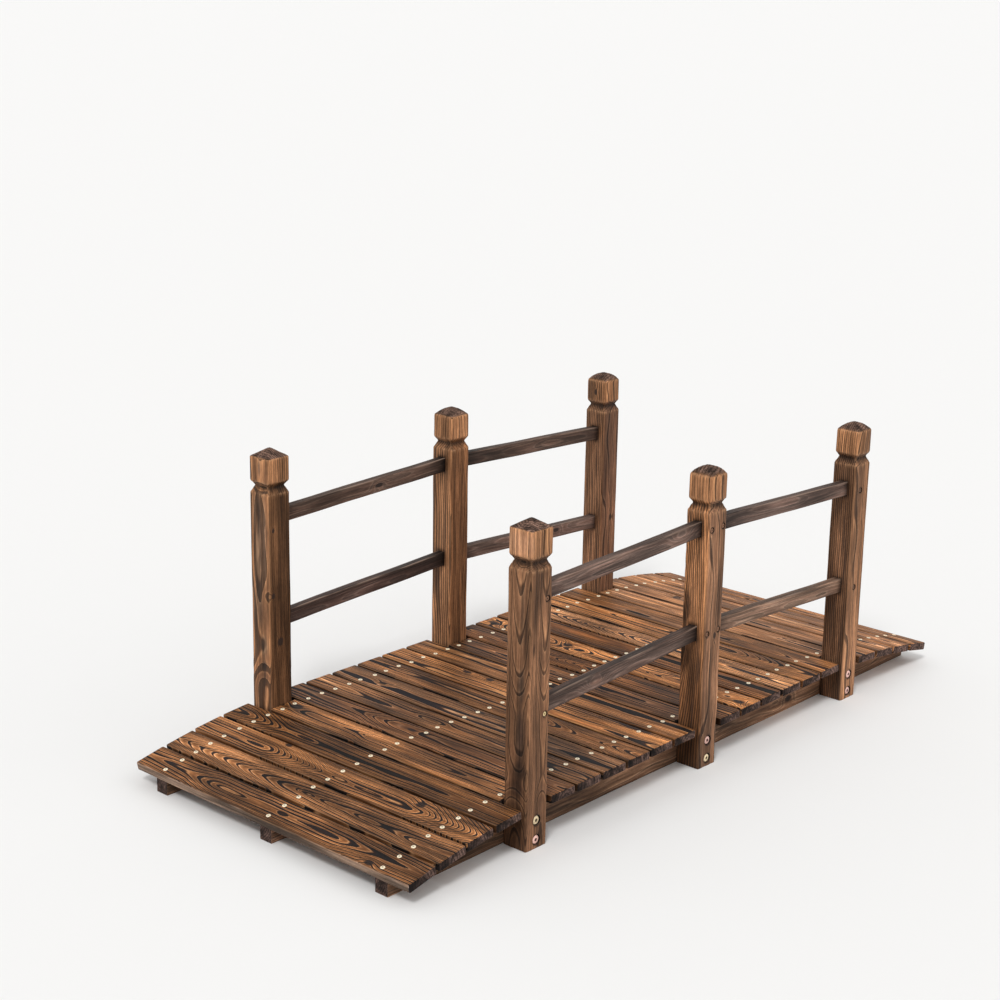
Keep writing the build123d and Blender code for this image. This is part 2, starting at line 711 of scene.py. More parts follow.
def slice_shape(
    shape: bmesh.types.BMesh, axis: Side, places: Iterable[float], facing: Vector | None = None
) -> None:
    """Cuts rows of edges round a shape, square to an axis.

    Args:
        shape: The shape.
        axis: The axis that the cuts are square to.
        places: Where the cuts go.
        facing: The way that the faces to be cut look, or nothing to cut them all.
    """
    for place in places:
        geometry = [*shape.verts, *shape.edges, *shape.faces]
        if facing is not None:
            shape.normal_update()
            faces = [face for face in shape.faces if face.normal.dot(facing) > ALIGNED]
            corners = [*(e for f in faces for e in f.edges), *(v for f in faces for v in f.verts)]
            geometry = list(dict.fromkeys([*faces, *corners]))
        at = axis.unit * place
        bmesh.ops.bisect_plane(shape, geom=geometry, dist=1e-6, plane_co=at, plane_no=axis.unit)


def block(width: float, length: float, depth: float) -> bmesh.types.BMesh:
    """Makes a plain block about the origin.

    Args:
        width: Its size along X.
        length: Its size along Y.
        depth: Its size along Z.

    Returns:
        The block.
    """
    shape = bmesh.new()
    bmesh.ops.create_cube(shape, size=1.0)
    bmesh.ops.scale(shape, vec=(width, length, depth), verts=shape.verts)
    return shape


def steps(low: float, high: float, size: float) -> list[float]:
    """Gives even places between two ends, about a size apart."""
    count = max(1, round((high - low) / size))
    return [low + (high - low) * i / count for i in range(count + 1)]


def baked(shape: bmesh.types.BMesh, name: str) -> bpy.types.Mesh:
    """Makes a mesh out of a shape, which is used up.

    Args:
        shape: The shape.
        name: The mesh's name.

    Returns:
        The mesh.
    """
    mesh = bpy.data.meshes.new(name)
    shape.to_mesh(mesh)
    shape.free()
    return mesh


def put(name: str, data: bpy.types.ID) -> bpy.types.Object:
    """Puts an object with its data in the scene.

    Args:
        name: The object's name.
        data: Its mesh, lamp or camera.

    Returns:
        The object.
    """
    item = bpy.data.objects.new(name, data)
    bpy.context.scene.collection.objects.link(item)
    return item


def carve(shape: bmesh.types.BMesh, cutter: bmesh.types.BMesh) -> None:
    """Takes a cutter's space out of a shape.

    Args:
        shape: The shape, which is changed.
        cutter: The space to take out, which is used up.
    """
    body = put("carved", baked(shape.copy(), "carved"))
    tool = put("cutter", baked(cutter, "cutter"))
    modifier = body.modifiers.new("carve", "BOOLEAN")
    modifier.object = tool
    modifier.operation = "DIFFERENCE"
    modifier.solver = "EXACT"
    bpy.context.view_layer.update()
    cut = body.evaluated_get(bpy.context.evaluated_depsgraph_get())
    result = bpy.data.meshes.new_from_object(cut)
    shape.clear()
    shape.from_mesh(result)
    spent = [body.data, tool.data, result]
    for item in (body, tool):
        bpy.data.objects.remove(item)
    for mesh in spent:
        bpy.data.meshes.remove(mesh)


def add_piece(
    name: str,
    mesh: bpy.types.Mesh,
    material: bpy.types.Material,
    slot: str,
    nodes: Sequence[str] = (),
) -> None:
    """Puts a finished mesh in the scene as a piece of the bridge.

    Args:
        name: The piece's name.
        mesh: Its mesh, in place.
        material: Its material.
        slot: The record's material slot, which is not used.
        nodes: The nodes that it replaces.
    """
    mesh.materials.append(material)
    mesh.shade_smooth()
    mesh.set_sharp_from_angle(angle=SHARP_ANGLE)
    piece = put(name, mesh)
    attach(piece, BODY)
    if nodes:
        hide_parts(*nodes)
    LOG.info("%s: %d faces", name, len(mesh.polygons))


@dataclass
class Timber:
    """One sawn timber.

    Attributes:
        node: The node that it stands for.
        shape: Its shape, lying down.
        sawing: How it was sawn.
        finish: Its finish.
        shade: The colour of its stain.
        relief: How far early wood stands above late wood, in metres.
        bow: How far it bends to and fro along its length, in metres.
        burn: Gives how much more than usual each point is scorched.
    """

    node: str
    shape: bmesh.types.BMesh
    sawing: Sawing
    finish: WoodFinish
    shade: Shade = Shade.EVEN
    relief: float = 0.0
    bow: float = 0.0
    burn: Placing = nothing

    def finish_off(
        self, material: bpy.types.Material, place: Placing, wear_and_highlight: Placing, tone: Placing
    ) -> None:
        """Draws the grain, hollows the late wood and puts the timber in its place.

        Args:
            material: The material of its finish.
            place: Turns points of the timber's own frame into points of the bridge.
            wear_and_highlight: Gives how worn each point is, with its painted edge highlight, from
                0 to 1.
            tone: Gives how dark each point is, as a factor of its colour.
        """
        mesh = baked(self.shape, self.node)
        count = len(mesh.vertices)
        points, normals = (np.empty(count * 3, np.float32) for _ in range(2))
        mesh.vertices.foreach_get("co", points)
        mesh.vertex_normals.foreach_get("vector", normals)
        points, normals = (values.reshape(-1, 3).astype(float) for values in (points, normals))

        spots = points / MM
        rings = self.sawing.rings(spots)
        cores = self.sawing.cores(spots)
        burn = self.sawing.burn + self.burn(points)
        grades = {"rings": rings, "knot": cores, "wear_and_highlight": wear_and_highlight(points), "burn": burn}
        for label, values in grades.items():
            attribute = mesh.attributes.new(label, "FLOAT", "POINT")
            attribute.data.foreach_set("value", values.astype(np.float32))
        shade = np.ones((count, 4), np.float32)
        # Blotches of char and bare wood, and the posts' painted shade.
        soot_and_shade = self.sawing.tint(spots)
        shade[:, :3] = np.array(self.shade.value) * soot_and_shade * tone(points).reshape(count, -1)
        attribute = mesh.attributes.new("shade", "FLOAT_COLOR", "POINT")
        attribute.data.foreach_set("color", shade.ravel())
        draw = random.Random(self.sawing.seed * 7 + 3)
        grain = points + np.array([draw.uniform(1.0, 9.0) for _ in range(3)])
        attribute = mesh.attributes.new("grain", "FLOAT_VECTOR", "POINT")
        attribute.data.foreach_set("vector", grain.astype(np.float32).ravel())

        if self.relief:
            ridge = 0.5 * np.cos(TAU * (rings - 0.42)) * (1.0 - cores)
            points = points + normals * (self.relief * ridge)[:, None]
        longest, shortest = 0.31, 0.13
        for axis, share in ((0, 1.0), (2, 0.4)):
            for length in (longest, shortest):
                wave = np.sin(TAU * (spots[:, 1] * MM / length + draw.random()))
                points[:, axis] += self.bow * share * length / longest * wave
        mesh.vertices.foreach_set("co", place(points).astype(np.float32).ravel())
        mesh.update()
        add_piece(self.node, mesh, material, self.finish.slot, (self.node,))


# The bridge


@dataclass(frozen=True)
class Arch:
    """The line of the deck's top: level in the middle, and an arc at each end.

    Attributes:
        height: The height of its level part.
        flat: Half the length of its level part.
        radius: The arcs' radius.
        length: The deck's length, measured along it.
    """

    height: float = 0.080
    flat: float = 0.390
    radius: float = 1.650
    length: float = 1.512

    def fall(self, run: float) -> float:
        """Gives the slope at a length along the deck from its middle, in radians."""
        turned = max(abs(run) - self.flat, 0.0) / self.radius
        return math.copysign(turned, run)

    def frame(self, run: float) -> Matrix:
        """Gives the place and turn of the deck's top at a length along it.

        Args:
            run: The length along the deck, from its middle.

        Returns:
            The frame, with X along the deck and Z up from its top.
        """
        fall = self.fall(run)
        if fall:
            x = math.copysign(self.flat, run) + self.radius * math.sin(fall)
            z = self.height - self.radius * (1.0 - math.cos(fall))
        else:
            x, z = run, self.height
        return Matrix.Translation((x, 0.0, z)) @ Matrix.Rotation(fall, 4, "Y")

    def drop(self, x: Points, below: float) -> Points:
        """Gives how far a line below the deck's top has fallen at places along the bridge.

        Args:
            x: The places.
            below: How far the line lies below the deck's top.

        Returns:
            The fall at each place.
        """
        radius = self.radius - below
        out = np.clip(np.abs(x) - self.flat, 0.0, radius)
        return radius - np.sqrt(radius**2 - out**2)


def placed(turn: Matrix) -> Placing:
    """Makes a placing out of a matrix."""
    matrix = np.array(turn)
    return lambda points: points @ matrix[:3, :3].T + matrix[:3, 3]


@dataclass
class Deck:
    """The boards of the deck.

    Attributes:
        arch: The line that their tops follow.
        finish: Their finish.
        looks: Each board's stain and sawing, by its number.
        count: The number of boards.
        width: A board's width.
        length: A full board's length.
        short_length: The length of a board between two posts.
        thickness: A board's thickness.
        corner_round: The rounding of its upright edges.
        edge_round: The rounding of its upper and lower edges.
        short_boards: The boards between posts.
        rows: The length of a mesh face along a board.
        wide: The width of a mesh face across its underside.
        narrow: The width of a mesh face across its top.
        slip: How far a board may lie off its place along the bridge.
        twist: How far it may be turned, in radians.
        level_gap_shade: How much painted shade darkens the sides of the level part's boards, from 0
            to 1.
        sloping_gap_shade: The same on the boards of both ends.
        grey: The tone of a weathered side.
        blanks: The plain boards that have been made, by their lengths.
    """

    arch: Arch
    finish: WoodFinish
    looks: dict[int, tuple[Shade, Sawing]]
    count: int = 23
    width: float = 0.060
    length: float = 0.660
    short_length: float = 0.556
    thickness: float = 0.015
    corner_round: float = 0.003
    edge_round: float = 0.002
    short_boards: tuple[int, ...] = (5, 12, 19)
    rows: float = 0.0045
    wide: float = 0.009
    narrow: float = 0.0015
    slip: float = 0.0009
    twist: float = 0.0014
    level_gap_shade: float = 0.7
    sloping_gap_shade: float = 0.12
    grey: Colour = (1.25, 2.2, 4.7)
    blanks: dict[float, bmesh.types.BMesh] = field(default_factory=dict)

    @property
    def pitch(self) -> float:
        """The distance from one board to the next."""
        return (self.arch.length - self.width) / (self.count - 1)

    def run(self, number: int) -> float:
        """Gives how far along the deck a board lies, from the middle."""
        return (number - (self.count + 1) // 2) * self.pitch

    def blank(self, length: float) -> bmesh.types.BMesh:
        """Makes a plain board of a length, fine enough to take its grain, or copies the last one.

        Args:
            length: The board's length.

        Returns:
            A new board.
        """
        if length not in self.blanks:
            shape = block(self.width, length, self.thickness)
            ease_edges(shape, Side.Z, self.corner_round, 2)
            ease_rims(shape, Side.Z, self.edge_round, 3)
            end = length / 2.0 - self.corner_round - 1.8 * MM
            slice_shape(shape, Side.Y, steps(-end, end, self.rows))
            side = 3.0 * self.wide
            slice_shape(shape, Side.X, steps(-side, side, self.wide))
            fine = steps(-side, side, self.narrow)
            between = [x for x in fine if abs(x / self.wide % 1.0 - 0.5) < 0.45]
            slice_shape(shape, Side.X, between, Side.Z.unit)
            self.blanks[length] = shape
        return self.blanks[length].copy()

    def build(self) -> None:
        """Makes every board."""
        material = self.finish.material()
        for number in range(1, self.count + 1):
            length = self.short_length if number in self.short_boards else self.length
            shade, sawing = self.looks[number]
            draw = random.Random(100 + number)
            shift = (0.0, draw.uniform(-self.slip, self.slip), -self.thickness / 2.0)
            twist = Matrix.Rotation(draw.uniform(-self.twist, self.twist), 4, "Z")
            turn = self.arch.frame(self.run(number)) @ Matrix.Translation(shift) @ twist
            weathered = {1: -1, self.count: 1}.get(number, 0)
            sloping = min(number, self.count + 1 - number) < self.short_boards[0]
            # Painted shade on the boards' sides, lighter on the boards of the sloping ends.
            soot_and_shade = self.sloping_gap_shade if sloping else self.level_gap_shade
            pith = sawing.pith[0] * MM
            burn = partial(self.burn, pith=pith, weathered=weathered, length=length)
            tone = partial(self.tone, weathered=weathered, soot_and_shade=soot_and_shade)
            name = f"deck_board_{number:02d}"
            board = Timber(
                name, self.blank(length), sawing, self.finish, shade, bow=0.25 * MM, burn=burn
            )
            board.finish_off(material, placed(turn), self.wear_and_highlight, tone)
        for shape in self.blanks.values():
            shape.free()

    def wear_and_highlight(self, points: Points) -> Points:
        """Gives how much a board's upper edges are lightened."""
        edge = portion(np.abs(points[:, 0]) - self.width / 2.0 + self.edge_round, self.edge_round)
        return 0.5 * edge * (points[:, 2] > self.thickness / 2.0 - 1.2 * MM)

    def tone(self, points: Points, weathered: int, soot_and_shade: float) -> Points:
        """Gives how dark a board is, with painted shade by its gaps and a grey outer side on end
        boards.

        Args:
            points: The places, in the board's own frame.
            weathered: The side that is grey, as -1 or 1, or 0 for none.
            soot_and_shade: How much painted shade darkens the sides, from 0 to 1.

        Returns:
            Factors of red, green and blue.
        """
        # Painted shade: the sides below the top, and the top beside each gap, are darkened.
        down = portion(self.thickness / 2.0 - 0.4 * MM - points[:, 2], 1.2 * MM)
        beside = portion(np.abs(points[:, 0]) - self.width / 2.0 + 5.5 * MM, 4.5 * MM)
        tone = ((1.0 - 0.4 * beside) * (1.0 - soot_and_shade * down * beside))[:, None]
        outer = self.outer(points, weathered)[:, None]
        return tone * (1.0 - outer) + outer * np.array(self.grey)

    def burn(self, points: Points, pith: float, weathered: int, length: float) -> Points:
        """Gives how much more a board is scorched along its pith, and how its ends grade from
        darker at the left to lighter at the right.

        Args:
            points: The places, in the board's own frame.
            pith: Where its pith lies across it.
            weathered: The side that is grey, as -1 or 1, or 0 for none.
            length: The board's length.

        Returns:
            How much more than usual each point is scorched.
        """
        heart = 0.1 * hump(points[:, 0] - pith, 9.0 * MM) - 0.03
        tip = portion(np.abs(points[:, 1]) - length / 2.0 + 1.2 * MM, 0.8 * MM)
        # The ends are darker towards the left side and lighter towards the right.
        across = np.interp(points[:, 0], (-self.width / 2.0, self.width / 2.0), (0.45, -0.4))
        return (1.0 - tip) * heart + tip * across - 0.7 * self.outer(points, weathered)

    def outer(self, points: Points, way: int) -> Points:
        """Tells which points are on a board's outer side, which looks along the bridge."""
        return portion(points[:, 0] * way - self.width / 2.0 + 1.2 * MM, 0.8 * MM)


@dataclass
class Understructure:
    """The three stringers under the deck.

    Attributes:
        arch: The line of the deck's top.
        finish: Their finish.
        looks: Each stringer's stain and sawing, by its name, from the front one to the back one.
        thickness: A stringer's thickness.
        offset: How far the outer ones stand from the bridge's middle line.
        below: How far their tops lie below the deck's top.
        end_setback: How far they end short of the deck, along the arch.
        edge_round: The rounding of their edges.
    """

    arch: Arch
    finish: WoodFinish
    looks: dict[str, tuple[Shade, Sawing]]
    thickness: float = 0.028
    offset: float = 0.266
    below: float = 0.0152
    end_setback: float = 0.002
    edge_round: float = 0.0015

    def build(self) -> None:
        """Makes every stringer."""
        material = self.finish.material()
        depth = self.arch.height - self.below
        end_turn = (self.arch.length / 2.0 - self.end_setback - self.arch.flat) / self.arch.radius
        reach = self.arch.flat + (self.arch.radius - self.below) * math.sin(end_turn)
        for (name, (shade, sawing)), y in zip(self.looks.items(), (-self.offset, 0.0, self.offset)):
            shape = block(depth, 2.0 * reach, self.thickness)
            ease_edges(shape, Side.Y, self.edge_round, 2)
            ease_edges(shape, Side.X, self.edge_round, 2)
            for axis, half, size in (
                (Side.X, depth / 2.0 - 0.003, 0.003),
                (Side.Z, 0.012, 0.006),
                (Side.Y, reach - 0.006, 0.007),
            ):
                slice_shape(shape, axis, steps(-half, half, size))
            for vert in shape.verts:
                share = 0.5 - vert.co.x / depth
                vert.co.x += share * float(self.arch.drop(np.array(vert.co.y), self.below))
            on_edge = Matrix(((0, 1, 0, 0), (0, 0, -1, y), (-1, 0, 0, depth / 2.0)))
            timber = Timber(name, shape, sawing, self.finish, shade, bow=0.3 * MM)
            timber.finish_off(material, placed(on_edge), nothing, self.tone)

    def tone(self, points: Points) -> Points:
        """Gives how dark a stringer is, with painted shade along its top, under the deck."""
        # Painted shade in a band just below the deck.
        top = (self.below - self.arch.height) / 2.0 + self.arch.drop(points[:, 1], self.below)
        return 1.0 - 0.8 * portion(top + 2.5 * MM - points[:, 0], 2.0 * MM)


@dataclass
class Railings:
    """The posts and the handrails.

    Attributes:
        post_finish: The posts' finish.
        rail_finish: The rails' finish.
        post_looks: Each post's colour factors, for its sides along and across the bridge, and its
            sawing.
        rail_looks: Each rail's stain and sawing.
        post_x: How far the outer posts stand from the bridge's middle.
        post_y: How far the posts stand from its middle line.
        section: The posts' width.
        height: The posts' height.
        cap_edge: The height of the foot of their peaks.
        groove_top: The height of the groove's upper edge.
        neck: The height of the groove's bottom.
        shoulder: The height of the groove's lower edge.
        groove_depth: The groove's depth.
        peak_flat: The width of the flat on a peak.
        edge_round: The rounding of the posts' long edges.
        rail_height: The rails' height.
        rail_thickness: The rails' thickness.
        rail_round: The rounding of the rails' long edges.
        pocket: How far a rail goes into a post.
        clearance: The room round a rail in its pocket.
        levels: Each level's name, its height at the middle post and its fall to the outer ones.
        bolt_heights: The heights of a post's bolts.
        bolt_recess: The radius and depth of a bolt's recess.
        screw_recess: The radius and depth of a screw's recess.
        screws: How far from a post's middle its screws stand, and how far above the rail's.
        worn_caps: How far some posts' tops are worn to domes, from 0 to 1.
    """

    post_finish: WoodFinish
    rail_finish: WoodFinish
    post_looks: dict[str, tuple[Shade, Shade, Sawing]]
    rail_looks: dict[str, tuple[Shade, Sawing]]
    post_x: float = 0.461977
    post_y: float = 0.305
    section: float = 0.050
    height: float = 0.550
    cap_edge: float = 0.536
    groove_top: float = 0.493
    neck: float = 0.484
    shoulder: float = 0.471
    groove_depth: float = 0.0066
    peak_flat: float = 0.006
    edge_round: float = 0.004
    rail_height: float = 0.027
    rail_thickness: float = 0.016
    rail_round: float = 0.0015
    pocket: float = 0.014
    clearance: float = 0.0006
    levels: tuple[tuple[str, float, float], ...] = (
        ("upper", 0.442, 0.018),
        ("lower", 0.253, 0.022),
    )
    bolt_heights: tuple[float, float] = (0.015, 0.049)
    bolt_recess: tuple[float, float] = (0.009, 0.005)
    screw_recess: tuple[float, float] = (0.0052, 0.0016)
    screws: dict[str, tuple[tuple[float, float], ...]] = field(
        default_factory=lambda: {
            "left": ((0.0145, -0.003),),
            "middle": ((-0.0162, -0.001), (0.0155, 0.001)),
            "right": ((-0.0035, -0.003),),
        }
    )
    worn_caps: dict[str, float] = field(default_factory=dict)

    def heights(self, place: str) -> list[float]:
        """Gives the heights at which rails meet a post."""
        return [level - fall * abs(PLACES[place]) for _, level, fall in self.levels]

    def screw_spots(self, place: str) -> list[tuple[float, float]]:
        """Gives the places of a post's rail screws on its outer face, as x and z."""
        screws = self.screws[place]
        return [(x, height + rise) for height in self.heights(place) for x, rise in screws]

    def fullness(self, along: float, worn: float = 0.0) -> float:
        """Gives how wide a post is at a height, against its full width.

        Args:
            along: The height.
            worn: How far its top is worn to a dome, from 0 to 1.

        Returns:
            The share of its full width.
        """
        neck = 1.0 - 2.0 * self.groove_depth / self.section
        heights = (0.0, self.shoulder, self.neck, self.groove_top, self.cap_edge, self.height)
        widths = (1.0, 1.0, neck, 1.0, 1.0, self.peak_flat / self.section)
        dome_foot = self.cap_edge - 5.0 * MM
        if worn and along > dome_foot:
            rise = (along - dome_foot) / (self.height - dome_foot)
            least = 0.015
            dome = math.sqrt(max(1.0 - rise**2, least))
            return worn * dome + (1.0 - worn) * float(np.interp(along, heights, widths))
        if along > self.height - 3.0 * MM:
            return float(np.interp(along, heights, widths))
        near = along + np.array((-1.2, -0.5, 0.5, 1.2)) * MM
        return float(np.mean(np.interp(near, heights, widths)))

    def post_shape(self, worn: float) -> bmesh.types.BMesh:
        """Makes a post's shape, with its foot at the origin.

        Args:
            worn: How far its top is worn to a dome, from 0 to 1.

        Returns:
            The shape.
        """
        shape = block(self.section, self.height, self.section)
        bmesh.ops.translate(shape, vec=(0.0, self.height / 2.0, 0.0), verts=shape.verts)
        ease_edges(shape, Side.Y, self.edge_round, 4)
        ease_rims(shape, Side.Y, 1.2 * MM, 2, (-1,))
        flat = self.section / 2.0 - self.edge_round
        for axis, low, high, size in (
            (Side.X, -flat, flat, 0.0018),
            (Side.Z, -flat, flat, 0.0018),
            (Side.Y, 0.004, self.shoulder - 0.002, 0.0042),
            (Side.Y, self.shoulder - 0.001, self.groove_top + 0.002, 0.0012),
            (Side.Y, self.groove_top + 0.005, self.cap_edge - 0.003, 0.004),
            (Side.Y, self.cap_edge - 0.0015, self.cap_edge + 0.0015, 0.001),
            (Side.Y, self.cap_edge + 0.003, self.height - 0.0001, 0.0027),
        ):
            slice_shape(shape, axis, steps(low, high, size))
        for vert in shape.verts:
            corner = max(math.hypot(vert.co.x, vert.co.z) / (self.section / 2.0) - 1.0, 0.0)
            share = worn * float(portion(vert.co.y - self.neck, 10.0 * MM))
            swelling, rounding = 0.04, 0.28
            scale = self.fullness(vert.co.y, worn) * (1.0 + share * (swelling - rounding * corner))
            vert.co.x *= scale
            vert.co.z *= scale
        return shape

    def pockets(self, place: str) -> list[tuple[int, float]]:
        """Gives the rails' pockets in a post, as the side that each is on and its height."""
        ways = [way for way in (-1, 1) if way != PLACES[place]]
        return [(way, height) for way in ways for height in self.heights(place)]

    def pocket_tone(self, points: Points, pockets: Sequence[tuple[int, float]]) -> Points:
        """Gives how dark painted shade makes a post round its rails' pockets.

        Args:
            points: The places, in the post's own frame.
            pockets: The side that each pocket is on, and its height.

        Returns:
            Factors of its colour.
        """
        tone = np.ones(len(points))
        for way, height in pockets:
            high = np.maximum(np.abs(points[:, 1] - height) - self.rail_height / 2.0, 0.0)
            wide = np.maximum(np.abs(points[:, 2]) - self.rail_thickness / 2.0, 0.0)
            facing = points[:, 0] * way > self.section / 2.0 - 2.0 * MM
            # Painted shade round each rail where it enters the post.
            tone *= 1.0 - 0.7 * hump(np.hypot(high, wide), 4.5 * MM) * facing
        return tone[:, None]

    def post_cutter(self, row: int, place: str) -> bmesh.types.BMesh:
        """Makes the space of a post's pockets and recesses, in the post's own frame.

        Args:
            row: -1 for the front row and 1 for the back row.
            place: The post's place in the row.

        Returns:
            The space to take out.
        """
        cutter = bmesh.new()
        middle_x = PLACES[place] * self.post_x
        beyond = 10.0 * MM
        room = 2.0 * self.clearance
        size = (self.pocket + beyond, self.rail_height + room, self.rail_thickness + room)
        for way in (-1, 1):
            if PLACES[place] == way:
                continue
            for _, level, fall in self.levels:
                at = middle_x + way * (self.section + beyond - self.pocket) / 2.0
                height = level - fall * abs(at) / self.post_x
                slope = -math.copysign(math.atan(fall / self.post_x), at)
                spot = Matrix.Translation((at - middle_x, height, 0.0))
                spot = spot @ Matrix.Rotation(slope, 4, "Z")
                bmesh.ops.create_cube(cutter, size=1.0, matrix=spot @ Matrix.Diagonal((*size, 1.0)))
        outer = -row * self.section / 2.0
        recesses = [(0.0, z, *self.bolt_recess, 40) for z in self.bolt_heights]
        recesses += [(x, z, *self.screw_recess, 24) for x, z in self.screw_spots(place)]
        for x, z, radius, depth, segments in recesses:
            bmesh.ops.create_cone(
                cutter,
                cap_ends=True,
                segments=segments,
                radius1=radius,
                radius2=radius,
                depth=2.0 * depth,
                matrix=Matrix.Translation((x, z, outer)),
            )
        return cutter

    def build(self) -> None:
        """Makes every post and rail."""
        post_material = self.post_finish.material()
        rail_material = self.rail_finish.material()
        masters = {worn: self.post_shape(worn) for worn in {*self.worn_caps.values(), 0.0}}
        for row_name, row in ROWS:
            for place, way in PLACES.items():
                name = f"post_{row_name}_{place}"
                shape = masters[self.worn_caps.get(name, 0.0)].copy()
                carve(shape, self.post_cutter(row, place))
                foot = Matrix.Translation((way * self.post_x, row * self.post_y, 0.0))
                *shades, sawing = self.post_looks[name]
                post = Timber(
                    name,
                    shape,
                    sawing,
                    self.post_finish,
                    relief=0.085 * sawing.ring * MM,
                    bow=0.2 * MM,
                    burn=partial(self.post_burn, sides=sawing.sides),
                )
                tone = partial(self.post_tone, row=row, place=place, shades=shades)
                turn = placed(foot @ Matrix.Rotation(TAU / 4.0, 4, "X"))
                post.finish_off(post_material, turn, self.post_wear_and_highlight, tone)
            for bay, side in (("left", -1), ("right", 1)):
                for level_name, level, fall in self.levels:
                    name = f"rail_{row_name}_{bay}_{level_name}"
                    self.build_rail(name, rail_material, side, row, level, fall)
        for master in masters.values():
            master.free()

    def build_rail(
        self,
        name: str,
        material: bpy.types.Material,
        side: int,
        row: int,
        level: float,
        fall: float,
    ) -> None:
        """Makes a rail.

        Args:
            name: Its name.
            material: The rails' material.
            side: -1 for the left bay and 1 for the right one.
            row: -1 for the front row and 1 for the back row.
            level: Its height at the middle post.
            fall: How much lower it is at the outer post.
        """
        end = self.section / 2.0 - self.pocket + 0.2 * MM
        length = self.post_x - 2.0 * end
        shape = block(self.rail_height, length, self.rail_thickness)
        ease_edges(shape, Side.Y, self.rail_round, 3)
        for axis, half, size in (
            (Side.X, self.rail_height / 2.0 - self.rail_round, 0.002),
            (Side.Z, self.rail_thickness / 2.0 - self.rail_round, 0.0026),
            (Side.Y, length / 2.0 - 0.006, 0.005),
        ):
            slice_shape(shape, axis, steps(-half, half, size))

        def place(points: Points) -> Points:
            """Sets the rail on edge between its posts, falling outwards.

            Args:
                points: The places, in the rail's own frame.

            Returns:
                The places on the bridge.
            """
            x = points[:, 1] + side * self.post_x / 2.0
            z = level - fall * np.abs(x) / self.post_x - points[:, 0]
            return np.stack([x, row * self.post_y - points[:, 2], z], axis=1)

        def tone(points: Points) -> Points:
            """Gives how dark the rail is: painted shade where it meets the posts, most at the
            middle post, and a darker top.

            Args:
                points: The places, in the rail's own frame.

            Returns:
                A factor of its colour at each point.
            """
            from_middle = length / 2.0 + side * points[:, 1] - self.pocket
            from_outer = length / 2.0 - side * points[:, 1] - self.pocket
            upper = portion(-points[:, 0] - self.rail_height / 2.0 + MM, 0.8 * MM)
            # Painted shade, deepening towards the middle post and at both posts' joints.
            middle_shade = 0.3 * np.clip(1.0 - from_middle / (160.0 * MM), 0.0, 1.0)
            darkening = 0.12 + 0.88 * portion(from_middle + MM, 45.0 * MM) ** 0.7
            darkening = darkening * (0.35 + 0.65 * portion(from_outer + MM, 14.0 * MM))
            return (1.0 - 0.38 * upper) * (1.08 - middle_shade) * darkening

        shade, sawing = self.rail_looks[name]
        rail = Timber(name, shape, sawing, self.rail_finish, shade, bow=0.3 * MM)
        rail.finish_off(material, place, self.rail_edge_highlight, tone)

    def rail_edge_highlight(self, points: Points) -> Points:
        """Gives how strongly a rail's upper long edges take a painted highlight.

        Args:
            points: The places, in the rail's own frame.

        Returns:
            The painted highlight at each point, from 0 to 1.
        """
        # Painted highlight along the upper long edges.
        below = self.rail_height / 2.0 + points[:, 0]
        inset = below + self.rail_thickness / 2.0 - np.abs(points[:, 2])
        return np.clip(1.5 - inset / (1.3 * MM), 0.0, 1.0)

    def post_burn(self, points: Points, sides: float) -> Points:
        """Gives how much more a post is scorched, most on the sides that look along the bridge.

        Args:
            points: The places, in the post's own frame.
            sides: How much more its sides along the bridge are scorched.

        Returns:
            How much more than usual each point is scorched.
        """
        places = (self.neck, self.groove_top, self.cap_edge - 0.001, self.cap_edge + 0.002)
        shaft = np.interp(points[:, 1], places, (1.0, 0.3, 0.3, 0.0))
        top = np.interp(points[:, 1], places, (0.0, 0.0, 0.0, -0.5))
        return (sides * self.sideways(points) - 0.12) * shaft + top

    def sideways(self, points: Points) -> Points:
        """Tells which points of a post are on the sides that look along the bridge."""
        away = np.abs(points[:, 0]) - np.abs(points[:, 2])
        return np.clip(away / self.edge_round + 0.5, 0.0, 1.0)

    def post_wear_and_highlight(self, points: Points) -> Points:
        """Gives how worn a post's long edges are, with a painted highlight on the lips of its
        groove and cap.

        Args:
            points: The places, in the post's own frame.

        Returns:
            How worn each point is, with its painted highlight, from 0 to 1.
        """
        half = self.section / 2.0 * np.array([self.fullness(height) for height in points[:, 1]])
        inset = 2.0 * half - np.abs(points[:, 0]) - np.abs(points[:, 2])
        turns = (self.shoulder, self.groove_top, self.cap_edge)
        away = np.min([np.abs(points[:, 1] - at) for at in turns], axis=0)
        edges = np.clip(1.0 - inset / (3.5 * MM), 0.0, 1.0)
        # The lips of the groove and cap get a painted highlight.
        return np.maximum(0.65 * edges, 0.5 * hump(away, 2.2 * MM))

    def post_tone(self, points: Points, row: int, place: str, shades: Sequence[Shade]) -> Points:
        """Gives how dark a post is, with painted shade in its neck groove, in and round its holes
        and pockets, and low on its sides.

        Args:
            points: The places, in the post's own frame.
            row: -1 for the front row and 1 for the back row.
            place: The post's place in the row.
            shades: The colour factors of the sides that look along the bridge, and of the others.

        Returns:
            Factors of its colour.
        """
        height = points[:, 1]
        # Painted shade in the neck groove.
        tone = 1.0 - 0.72 * hump(height - self.neck + MM, 5.5 * MM)
        # Painted shade in the bolt and screw recesses and round their rims.
        near = np.abs(points[:, 2] + row * self.section / 2.0) < 6.0 * MM
        holes = [(0.0, z, self.bolt_recess[0]) for z in self.bolt_heights]
        holes += [(*spot, self.screw_recess[0]) for spot in self.screw_spots(place)]
        for x, z, radius in holes:
            away = np.hypot(points[:, 0] - x, height - z) - radius
            tone = np.where(near, tone * (0.12 + 0.88 * portion(away, 1.6 * MM)), tone)
